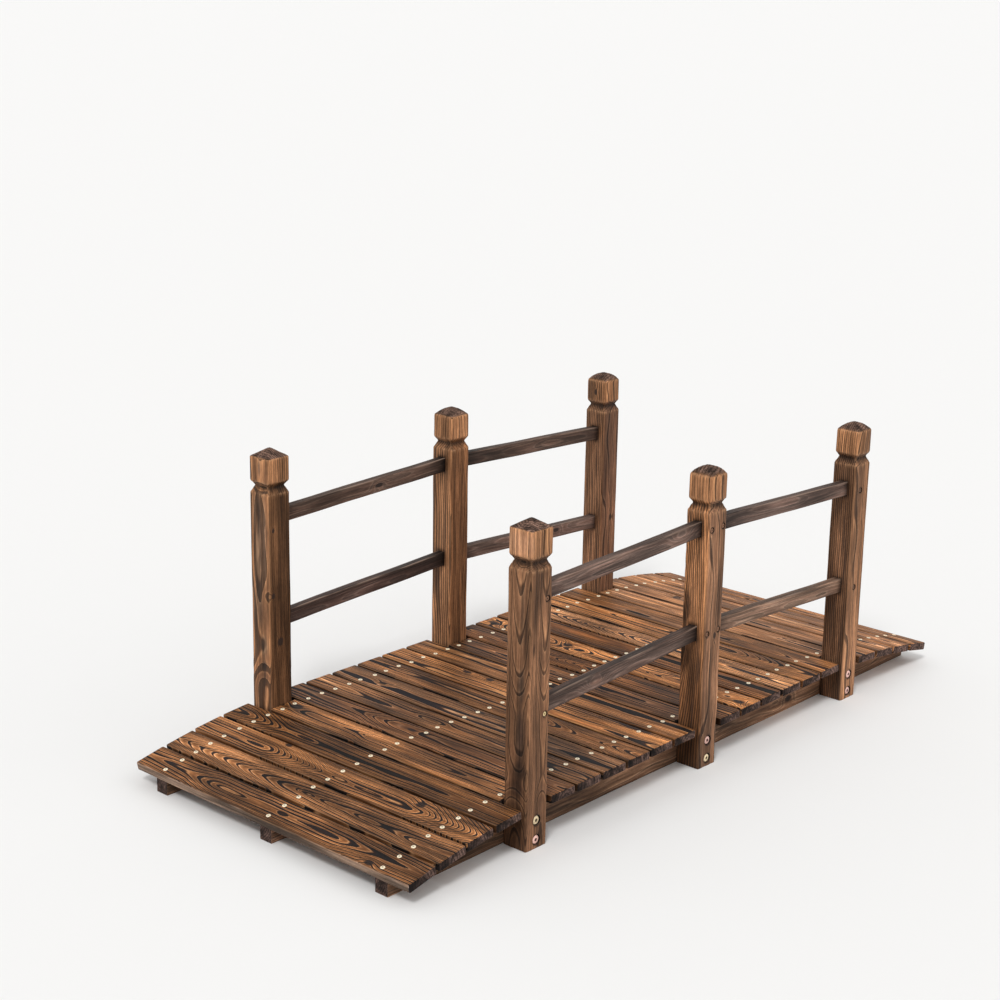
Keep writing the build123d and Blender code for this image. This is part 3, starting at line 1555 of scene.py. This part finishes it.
        # Painted shade on the faces carved inside the pockets and recesses.
        half = self.section / 2.0
        below = height < self.shoulder - 3.0 * MM
        depth = np.minimum(half - np.abs(points[:, 0]), half - np.abs(points[:, 2]))
        tone = np.where(below & (depth > 1.8 * MM), tone * 0.18, tone)
        tone *= np.interp(height, (self.cap_edge - 0.001, self.cap_edge + 0.003), (1.0, 0.33))
        cap = np.interp(height, (self.groove_top - 0.003, self.groove_top + 0.003), (0.0, 1.0))
        # Painted shade on the sides along the bridge, below the deck's top.
        foot = np.interp(height, (0.062, 0.078), (1.0, 0.0))
        columns = (tone, cap, foot, self.sideways(points))
        tone, cap, foot, along = (column[:, None] for column in columns)
        shaft = along * np.array(shades[0].value) + (1.0 - along) * np.array(shades[1].value)
        shaft = shaft * (1.0 - 0.4 * along * foot)
        colour = tone * (cap * np.array(Shade.AMBER.value) + (1.0 - cap) * shaft)
        return colour * self.pocket_tone(points, self.pockets(place))


@dataclass
class Fasteners:
    """The screws in the deck, the posts' bolts and the rails' screws.

    Attributes:
        deck: The deck.
        railings: The posts and rails.
        screw_finish: The screws' finish.
        bolt_finish: The bolts' finish.
        screw_head: A screw's head, as its radius, its rise and its recess's reach and depth.
        bolt_head: A bolt's head, in the same way.
        rows: The deck screws' rows, by name, and where they lie across the bridge.
        screw_offset: How far the deck's screws stand from a board's middle.
        short_offset: The same on a board between posts.
        slip: How far a screw may stand off its place, along the bridge and across it.
    """

    deck: Deck
    railings: Railings
    screw_finish: MetalFinish
    bolt_finish: MetalFinish
    screw_head: tuple[float, float, float, float] = (0.004, 0.0009, 0.0021, 0.0016)
    bolt_head: tuple[float, float, float, float] = (0.008, 0.0044, 0.0034, 0.0034)
    rows: tuple[tuple[str, float], ...] = (("front", -0.263), ("middle", 0.0), ("back", 0.263))
    screw_offset: float = 0.0173
    short_offset: float = 0.016
    slip: tuple[float, float] = (0.0009, 0.002)

    def head(
        self, radius: float, rise: float, recess_radius: float, recess_depth: float, recess: Outline
    ) -> bpy.types.Mesh:
        """Makes a low domed head with a driving recess, standing on the origin, with painted shade
        inside the recess.

        Args:
            radius: The head's radius.
            rise: How high its middle stands.
            recess_radius: The recess's greatest reach.
            recess_depth: The recess's depth.
            recess: The recess's outline.

        Returns:
            The head's mesh.
        """
        shape = bmesh.new()
        bmesh.ops.create_circle(shape, cap_ends=True, segments=24, radius=radius)
        bmesh.ops.translate(shape, vec=(0.0, 0.0, -0.4 * rise), verts=shape.verts)
        bottom = shape.faces[:][0]
        if bottom.normal.z < 0.0:
            bottom.normal_flip()
        # The layer dark holds painted shade inside the recess, from 0 to 1.
        layer = shape.verts.layers.float.new("dark")
        top = bottom
        for share, level, dark, in_recess in (
            (1.0, 0.35 * rise, 0.0, False),
            (0.93, 0.72 * rise, 0.0, False),
            (0.72, 0.95 * rise, 0.0, False),
            (1.0, rise, 0.0, True),
            (0.94, rise - 0.3 * recess_depth, 0.75, True),
            (0.62, rise - recess_depth, 0.93, True),
        ):
            top = bmesh.ops.extrude_discrete_faces(shape, faces=[top])["faces"][0]
            for vert in top.verts:
                angle = math.atan2(vert.co.y, vert.co.x) % TAU
                reach = share * (recess.reach(angle, recess_radius) if in_recess else radius)
                vert.co = (math.cos(angle) * reach, math.sin(angle) * reach, level)
                vert[layer] = dark
        bmesh.ops.recalc_face_normals(shape, faces=shape.faces)
        return baked(shape, "head")

    def gather(
        self,
        name: str,
        head: bpy.types.Mesh,
        spots: Sequence[tuple[Matrix, Plating]],
        finish: MetalFinish,
        material: bpy.types.Material,
        spread: float,
    ) -> None:
        """Joins copies of a head into one piece.

        Args:
            name: The piece's name.
            head: The head's mesh.
            spots: The place and turn of each copy, and its tint.
            finish: The metal's finish.
            material: The finish's material.
            spread: How much the copies differ in tone.
        """
        shape = bmesh.new()
        layer = shape.verts.layers.float_color.new("shade")
        draw = random.Random(len(name) * 31 + len(spots))
        for spot, plating in spots:
            start = len(shape.verts)
            shape.from_mesh(head)
            shape.verts.ensure_lookup_table()
            dark = shape.verts.layers.float["dark"]
            fresh = shape.verts[start:]
            spun = spot @ Matrix.Rotation(draw.uniform(0.0, TAU), 4, "Z")
            bmesh.ops.transform(shape, matrix=spun, verts=fresh)
            tone = 1.0 - spread * draw.random()
            for vert in fresh:
                vert[layer] = (*(tint * tone * (1.0 - vert[dark]) for tint in plating.value), 1.0)
        add_piece(name, baked(shape, name), material, finish.slot)

    def build(self) -> None:
        """Makes every screw and bolt."""
        screw_material = self.screw_finish.material()
        bolt_material = self.bolt_finish.material()
        screw = self.head(*self.screw_head, Outline.CROSS)
        bolt = self.head(*self.bolt_head, Outline.HEXAGON)

        for row, y in self.rows:
            spots = []
            for number in range(1, self.deck.count + 1):
                draw = random.Random(number * 13 + len(row))
                top = self.deck.arch.frame(self.deck.run(number))
                short = number in self.deck.short_boards
                offset = self.short_offset if short else self.screw_offset
                for side in (-1, 1):
                    off_x, off_y = (draw.uniform(-slip, slip) for slip in self.slip)
                    spot = Matrix.Translation((side * offset + off_x, y + off_y, 0.1 * MM))
                    spots.append((top @ spot, Plating.PLAIN))
            metal = (self.screw_finish, screw_material)
            self.gather(f"deck_screws_{row}", screw, spots, *metal, spread=0.12)

        platings = {
            "left": (Plating.PINK, Plating.CREAM),
            "middle": (Plating.CREAM, Plating.PINK),
            "right": (Plating.PINK, Plating.PINK),
        }
        for row, way in ROWS:
            bolts, screws = [], []
            face = way * (self.railings.post_y + self.railings.section / 2.0)
            floor = face - way * self.railings.bolt_recess[1]
            seat = face - way * self.railings.screw_recess[1]
            turn = Matrix.Rotation(-way * TAU / 4.0, 4, "X")
            for place, side in PLACES.items():
                x = side * self.railings.post_x
                for z, plating in zip(self.railings.bolt_heights, platings[place]):
                    bolts.append((Matrix.Translation((x, floor, z)) @ turn, plating))
                for number, (dx, z) in enumerate(self.railings.screw_spots(place)):
                    plating = Plating.CREAM if place == "left" and number else Plating.RUSTY
                    screws.append((Matrix.Translation((x + dx, seat, z)) @ turn, plating))
            metal = (self.bolt_finish, bolt_material)
            self.gather(f"post_bolts_{row}", bolt, bolts, *metal, spread=0.25)
            metal = (self.screw_finish, screw_material)
            self.gather(f"rail_screws_{row}", screw, screws, *metal, spread=0.5)


@dataclass(frozen=True)
class Studio:
    """The floor, the light and the camera.

    Attributes:
        azimuth: Where the camera stands round the bridge, in degrees.
        elevation: How high it stands, in degrees.
        roll: How far it is turned about its line of sight, in degrees.
        distance: How far it is from its target.
        target: The point that it looks at.
        lens: Its focal length on its sensor, in millimetres.
        sensor: The sensor's width, in millimetres.
        floor_size: Half the floor's width.
        floor_colour: The floor's colour.
        sky_light: How strongly the sky lights the bridge, where 1 is white.
        lamps: Each lamp's name, its strength, its breadth in degrees and its turn in degrees.
    """

    azimuth: float = -48.104
    elevation: float = 15.724
    roll: float = 1.019
    distance: float = 3.40541
    target: tuple[float, float, float] = (-0.195748, 0.0, 0.464483)
    lens: float = 69.84
    sensor: float = 36.0
    floor_size: float = 400.0
    floor_colour: Colour = (0.86, 0.855, 0.845)
    sky_light: float = 0.72
    lamps: tuple[tuple[str, float, float, Colour], ...] = (
        ("key", 1.3, 14.0, (38.0, 0.0, -62.0)),
        ("fill", 0.3, 60.0, (62.0, 0.0, 28.0)),
    )

    def build(self) -> None:
        """Sets the scene's stage, lights, view and colours."""
        bpy.context.scene.view_settings.view_transform = "Standard"
        self.lay_floor()
        self.light()
        self.aim_camera()

    def lay_floor(self) -> None:
        """Lays the floor."""
        shape = bmesh.new()
        bmesh.ops.create_grid(shape, x_segments=1, y_segments=1, size=self.floor_size)
        mesh = baked(shape, "floor")
        bench = Bench("floor")
        bench.feed(bench.shader.inputs["Base Color"], self.floor_colour)
        bench.shader.inputs["Roughness"].default_value = 0.9
        mesh.materials.append(bench.material)
        floor = put("floor", mesh)

    def light(self) -> None:
        """Sets a sky that is white where it is seen or mirrored, and the soft lamps."""
        world = bpy.data.worlds.new("sky")
        bpy.context.scene.world = world
        world.use_nodes = True
        nodes, links = world.node_tree.nodes, world.node_tree.links
        background = nodes["Background"]
        background.inputs["Color"].default_value = (1.0, 1.0, 1.0, 1.0)
        path = nodes.new("ShaderNodeLightPath").outputs
        seen = path["Is Camera Ray"]
        for ray in ("Is Glossy Ray", "Is Transmission Ray"):
            either = nodes.new("ShaderNodeMath")
            either.operation = "MAXIMUM"
            links.new(seen, either.inputs[0])
            links.new(path[ray], either.inputs[1])
            seen = either.outputs[0]
        strength = nodes.new("ShaderNodeMapRange")
        strength.inputs["To Min"].default_value = self.sky_light
        links.new(seen, strength.inputs["Value"])
        links.new(strength.outputs[0], background.inputs["Strength"])
        for name, energy, breadth, turn in self.lamps:
            lamp = bpy.data.lights.new(name, "SUN")
            lamp.energy = energy
            lamp.angle = math.radians(breadth)
            put(name, lamp).rotation_euler = [math.radians(angle) for angle in turn]

    def aim_camera(self) -> None:
        """Puts the camera at the photograph's view."""
        angles = (self.azimuth, self.elevation, self.roll)
        azimuth, elevation, roll = (math.radians(angle) for angle in angles)
        level = math.cos(elevation)
        back = Vector((math.sin(azimuth) * level, -math.cos(azimuth) * level, math.sin(elevation)))
        right = Vector((0.0, 0.0, 1.0)).cross(back).normalized()
        upright = Matrix((right, back.cross(right), back)).transposed().to_4x4()
        data = bpy.data.cameras.new("camera")
        data.lens = self.lens
        data.sensor_width = self.sensor
        camera = put("camera", data)
        stand = Matrix.Translation(Vector(self.target) + back * self.distance)
        camera.matrix_world = stand @ upright @ Matrix.Rotation(roll, 4, "Z")
        bpy.context.scene.camera = camera


# Each timber's own look. A sawing's values are its seed, its pith, its rings' width, their drift,
# the pith's sway, its marks, its burn and, for a post, that of its sides along the bridge. A mark's
# values are its places across and along, its radius, its stretch, its place through the thickness
# and its reach, and then its kind's own. The boards are numbered from the left end, and along a
# board the places run from the front side, which is negative, to the back.
BOARD_LOOKS: dict[int, tuple[Shade, Sawing]] = {
    1: (Shade.RUSSET, Sawing(
        1, (0, -2), 5.6, ((-330, 2), (-190, 1), (-150, 0), (150, 0), (210, 2), (330, 3)), 1.0, (
            Lens(2, 268, 5, 5), Lens(0, 112, 7, 5), Lens(-1, -15, 6, 1.8), Lens(1, -112, 6, 4.5),
            Knot(-20, -235, 6, 1.5),
        ), 0.05,
    )),
    2: (Shade.EVEN, Sawing(
        2, (-2, -2), 5.6, ((-330, -3.8), (50, 0), (330, 8.5)), 1.0, (
            Lens(-3, -3, 4, 4.5), Lens(-4, -62, 5, 5), Lens(-4, -147, 6, 5), Lens(-7, -268, 8, 5),
            Lens(2, 285, 5, 4),
        ),
    )),
    3: (Shade.TAN, Sawing(
        3, (-5, -2), 5.4, ((-330, 11), (-190, 0), (30, 0), (160, -9), (330, -9)), 1.0, (
            Lens(-4, 195, 5, 4), Lens(-5, 46, 5, 2.2), Lens(-5, -18, 6, 3), Lens(-8, -90, 5, 7),
            Knot(13, -187, 8, 1.2), Knot(26, 143, 5, 1.5),
        ),
    )),
    4: (Shade.UMBER, Sawing(
        4, (-4, -3), 5.6, ((-330, 1), (195, 0), (290, -4.6), (330, -5)), 1.2, (
            Lens(-5, 135, 5, 5), Lens(-6, 12, 5, 6),
        ),
    )),
    5: (Shade.TAN, Sawing(
        5, (1, -1), 6.0, ((-330, 0), (60, 0), (80, 1), (330, 1.6)), 1.2, (
            Lens(5, 52, 4.4, 7), Lens(0, -50, 7, 6), Lens(0, -140, 5, 7), Knot(10, 250, 9, 1.3),
        ),
    )),
    6: (Shade.DARK, Sawing(
        6, (8, -8.3), 6.6, ((-330, -1), (60, 0), (140, 3), (330, 3.5)), 1.0, (
            Knot(8, 25, 5, 2, swell=0.8),
        ),
    )),
    7: (Shade.EVEN, Sawing(
        7, (-5, -3), 6.4, ((-330, 0.6), (330, -0.6)), 1.5, (
            Lens(-5, 230, 10, 2.8), Lens(6, 30, 13, 3), Lens(0, -290, 10, 3),
        ),
    )),
    8: (Shade.GREY, Sawing(
        8, (-10, -8.8), 6.8, ((-330, 0), (330, 1)), 1.0, (
            Knot(0, 222, 5, 2, swell=0.8), Knot(20, -3, 5, 2, swell=0.8),
        ),
    )),
    9: (Shade.RUSSET, Sawing(
        9, (2, -2), 5.6, ((-330, 0), (-240, 3), (-200, 3), (-110, 0), (330, 0.8)), 1.5, (
            Lens(0, 85, 9, 4),
        ),
    )),
    10: (Shade.AMBER, Sawing(
        10, (-16, -6), 6.4, ((-330, 0), (330, 1.5)), 1.5, (
            Knot(20, 150, 6, 1.8, swell=1), Knot(20, 92, 6, 1.5, swell=1), Lens(10, -180, 7, 4),
            Knot(27, -250, 8, 4.5, swell=0.6),
        ),
    )),
    11: (Shade.TAN, Sawing(
        11, (14, -16.3), 7.0, ((-330, 0), (330, -0.3)), 0.8, (
            Lens(8, 60, 5, 5),
        ), -0.08,
    )),
    12: (Shade.DARK, Sawing(
        12, (6, -8.8), 6.8, ((-330, 0), (330, 0.4)), 0.9, (
            Lens(-6, -100, 7, 3),
        ),
    )),
    13: (Shade.CHESTNUT, Sawing(
        13, (0, -3), 5.4, ((-330, -1), (-20, 0), (90, 4), (330, 5)), 1.4, (
            Lens(2, 30, 5, 5),
        ),
    )),
    14: (Shade.AMBER, Sawing(
        14, (0, -4), 6.2, ((-330, -6), (-90, 0), (40, 0), (80, -2), (330, -2.5)), 1.4, (
            Knot(-2, 300, 9, 1.3, swell=2.4), Knot(4, 112, 9, 1.2, swell=2.6), Lens(-4, -130, 7, 5),
            Knot(-5, -305, 8, 1.3, swell=2),
        ),
    )),
    15: (Shade.CHESTNUT, Sawing(
        15, (10, -15.6), 6.8, ((-330, 0), (330, 0.4)), 0.9, (
            Lens(-8, 180, 6, 3),
        ), -0.08,
    )),
    16: (Shade.STRAW, Sawing(
        16, (-2, -2), 5.6, ((-330, -2), (30, 0), (250, 8.8), (330, 9.5)), 1.2, (
            Lens(-3, 165, 5, 3), Lens(-3, 115, 5, 3),
        ),
    )),
    17: (Shade.AMBER, Sawing(
        17, (8, -8.8), 6.8, ((-330, 5), (-260, 4), (-150, 0), (330, 0.4)), 0.9, (
            Lens(15, 90, 7, 10),
        ), -0.1,
    )),
    18: (Shade.TAN, Sawing(
        18, (-12, -16.3), 7.0, ((-330, 0), (330, 0.4)), 0.9, (
            Lens(-5, -170, 10, 6),
        ), -0.3,
    )),
    19: (Shade.PALE_AND_SHEEN, Sawing(
        19, (4, -9.3), 7.0, ((-330, 0), (330, 0.8)), 0.9, (
            Lens(18, -180, 6, 4),
        ), -0.42,
    )),
    20: (Shade.PALE_AND_SHEEN, Sawing(
        20, (-10, -17), 7.2, ((-330, 0), (330, 0.5)), 0.9, (
            Knot(10, 150, 5, 2),
        ), -0.42,
    )),
    21: (Shade.PALE_AND_SHEEN, Sawing(
        21, (8, -17), 7.2, ((-330, 0), (330, -0.5)), 0.9, (
            Lens(-9, -40, 5, 4),
        ), -0.45,
    )),
    22: (Shade.PALE_AND_SHEEN, Sawing(
        22, (0, -8.8), 6.8, ((-330, -2), (330, 3)), 0.9, (
            Lens(3, 70, 4, 5),
        ), -0.48,
    )),
    23: (Shade.TAN, Sawing(
        23, (-8, -17), 7.2, ((-330, 1), (330, -1)), 0.9, (
            Knot(-14, 60, 6, 2), Lens(6, -230, 5, 4),
        ), -0.4,
    )),
}

STRINGER_LOOKS: dict[str, tuple[Shade, Sawing]] = {
    "stringer_front": (Shade.EVEN, Sawing(
        31, (6, -30), 4.0, marks=(
            Knot(-6, -260, 7, 2.0), Knot(10, 330, 6, 1.6),
        ),
    )),
    "stringer_middle": (Shade.DARK, Sawing(32, (-12, -40), 4.2)),
    "stringer_back": (Shade.EVEN, Sawing(33, (8, 34), 4.0, marks=(Knot(4, 120, 7, 1.8),))),
}

# The places along a post run up from its foot. Its best face looks to the front, and its left
# side is at negative places across it.
POST_LOOKS: dict[str, tuple[Shade, Shade, Sawing]] = {
    "post_front_left": (Shade.SMOKED, Shade.RUSSET, Sawing(
        41, (10, 2), 4.2, ((0, -2), (80, -2), (116, 0), (235, 0), (330, -2.5), (471, -4)), 1.0, (
            Patch(-25, 190, 10, 5.4, 8, 11, 0.3), Blotch(-25, 195, 10, 5.4, 8, 10, (0.36, 0.4, 0.5)),
            Blotch(-25, 136, 10, 1.6, 9, 16, (0.4, 0.43, 0.5)),
            Blotch(-25, 282, 10, 3, 8, 7, (0.5, 0.58, 0.7)), Bulge(-25, 95, 9, 3, 4, 16, swell=2),
            Blotch(-25, 106, 10, 1.6, 4, 14, (0.5, 0.52, 0.6)),
            Blotch(-25, 400, 10, 6, 8, 4, (0.65, 0.7, 0.76)),
            Blotch(-25, 390, 10, 7, -15, 6, (1.15, 1.15, 1.15)),
            Blotch(-15.5, 343, 2.4, 5, 25, 8, (0.25, 0.25, 0.28)),
            Blotch(-25, 514, 8, 2.8, 0, 60, (0.87, 0.94, 1.1)),
            # Painted shade over the lower part of the left side.
            Blotch(-25, 60, 10, 12, 0, 60, (0.76, 0.76, 0.78)),
        ), -0.3, 0.02,
    )),
    "post_front_middle": (Shade.HONEY, Shade.EVEN, Sawing(
        42, (-25, -60), 6.2, ((0, 0), (550, 1)), 1.6, (
            Bulge(-25, 245, 20, 4, -27, 22, swell=-6), Patch(-25, 245, 9, 8, -27, 18),
            Blotch(-25, 297, 9, 3.6, -28, 24, (0.4, 0.4, 0.43), 5),
            Blotch(-25, 208, 9, 4.0, -28, 25, (0.34, 0.34, 0.35), 5),
            # Painted shade over the left side below the deck.
            Blotch(-25, 50, 10, 19, 5, 40, (0.3, 0.29, 0.28)),
            Knot(6, 245, 4, 1.5, 25, 10, swell=0.8), Blotch(-25, 165, 6, 9, 25, 4, (1.5, 1.5, 1.5)),
        ), -0.06,
    )),
    "post_front_right": (Shade.RUSSET, Shade.TAN, Sawing(
        43, (-25, -70), 4.2, ((0, 0), (550, 1)), 1.2, (
            Blotch(-25, 514, 8, 2.8, 0, 60, (0.86, 0.85, 0.84)),
        ),
    )),
    "post_back_left": (Shade.AMBER, Shade.UMBER, Sawing(
        44, (60, 6), 4.6, ((0, 0), (121, 0), (160, 1), (550, 1.5)), 1.4, (
            Patch(-25, 372, 9, 10.5, -4, 12, 0.2), Blotch(-25, 425, 9, 4.2, -1, 5),
            Blotch(-25, 352, 9, 7.5, -4, 12), Blotch(-25, 262, 9, 5, -8, 14, (0.62, 0.7, 0.82)),
            Bulge(-25, 193, 9, 1.5, 9, 9, swell=0.4),
            Blotch(-25, 190, 9, 2.4, 8, 10, (0.55, 0.65, 0.8)), Blotch(-25, 155, 9, 0.8, 8, 7),
            Blotch(-25, 518, 9, 1.9, 1, 3), Blotch(-25, 392, 9, 9.5, 13, 3.4, (1.35, 1.5, 1.75)),
            Blotch(-25, 440, 9, 3.6, -14, 5, (1.3, 1.42, 1.6)),
            Blotch(-25, 118, 9, 4.4, 2, 40, (0.68, 0.68, 0.72)), Knot(-17, 287, 4, 1.2, 25, 8),
            Knot(-2, 198, 6, 1.3, 25, 8), Knot(-15, 407, 3, 1.2, 25, 8, swell=0.8),
        ),
    )),
    "post_back_middle": (Shade.AMBER, Shade.CHESTNUT, Sawing(
        45, (40, -50), 3.6, ((0, 0), (550, 1)), 1.6, (), -0.08,
    )),
    "post_back_right": (Shade.TAN, Shade.DARK, Sawing(
        46, (-25, -60), 4.6, ((0, 0), (550, 1)), 1.6, (
            Knot(6, 240, 4, 1.8, 25, 8, swell=0.8), Knot(-25, 512, 4, 1.5, 1, 4, swell=0.8),
        ),
    )),
}

RAIL_LOOKS: dict[str, tuple[Shade, Sawing]] = {
    "rail_front_left_upper": (Shade.EVEN, Sawing(
        51, (4, -26), 3.2, marks=(
            Bulge(-3, 150, 5, 3, swell=2),
        ),
    )),
    "rail_front_left_lower": (Shade.EVEN, Sawing(
        52, (8, -18), 3.2, marks=(
            Bulge(1, -72, 5, 3, swell=3), Blotch(2, -66, 4, 4, tint=(1.7, 1.55, 1.45)),
        ),
    )),
    "rail_front_right_upper": (Shade.EVEN, Sawing(53, (-6, -24), 3.0)),
    "rail_front_right_lower": (Shade.AMBER, Sawing(54, (6, -16), 3.2, marks=(Lens(7, -90, 4, 8),))),
    "rail_back_left_upper": (Shade.RUSSET, Sawing(
        55, (-4, -22), 3.2, marks=(
            Knot(0, 30, 4, 2.4),
        ),
    )),
    "rail_back_left_lower": (Shade.DARK, Sawing(56, (5, -26), 3.0)),
    "rail_back_right_upper": (Shade.RUSSET, Sawing(57, (2, -24), 3.2)),
    "rail_back_right_lower": (Shade.EVEN, Sawing(
        58, (-5, -22), 3.2, marks=(
            Knot(-2, 80, 4, 2.4),
        ),
    )),
}


def main() -> None:
    """Builds the footbridge and its stage."""
    logging.basicConfig(level=logging.INFO, format="%(name)s: %(message)s")
    arch = Arch()
    deck = Deck(arch, WoodFinish("deck_wood", "deck_wood", Side.Y), BOARD_LOOKS)
    stringers = Understructure(
        arch,
        WoodFinish(
            "stringer_wood",
            "stringer_wood",
            Side.X,
            pale=(0.2, 0.105, 0.058),
            middle=(0.135, 0.07, 0.04),
            lip=(0.26, 0.15, 0.09),
            waver=0.5,
            lines=0.55,
        ),
        STRINGER_LOOKS,
    )
    railings = Railings(
        WoodFinish(
            "post_wood",
            "post_wood",
            Side.Z,
            pale=(0.255, 0.127, 0.068),
            middle=(0.205, 0.1, 0.054),
            dark=(0.065, 0.029, 0.016),
            char=(0.034, 0.021, 0.016),
            end=(0.05, 0.029, 0.021),
            lip=(0.34, 0.175, 0.093),
            waver=0.35,
            lines=0.85,
            fibres=0.85,
        ),
        WoodFinish(
            "rail_wood",
            "rail_wood",
            Side.X,
            pale=(0.122, 0.074, 0.057),
            middle=(0.095, 0.058, 0.045),
            dark=(0.045, 0.028, 0.023),
            char=(0.026, 0.018, 0.016),
            # The rails' worn colour is their painted edge highlight.
            worn=(0.3, 0.21, 0.16),
            lip=(0.16, 0.105, 0.083),
            waver=0.35,
            lines=0.5,
            fibres=0.8,
        ),
        POST_LOOKS,
        RAIL_LOOKS,
        worn_caps={
            "post_front_middle": 0.75,
            "post_front_right": 0.6,
            "post_back_right": 0.75,
            "post_back_middle": 0.5,
        },
    )
    fasteners = Fasteners(
        deck,
        railings,
        MetalFinish("nail_brass", "nail_brass", (1.0, 0.9, 0.68), (1.0, 0.82, 0.55), metal=0.1),
        MetalFinish("bolt_steel", "bolt_steel", (1.0, 0.94, 0.88), (0.85, 0.74, 0.66), 0.3),
    )
    for part in (deck, stringers, railings, fasteners, Studio()):
        part.build()
        LOG.info("%s is built", type(part).__name__)


if __name__ == "__main__":
    main()
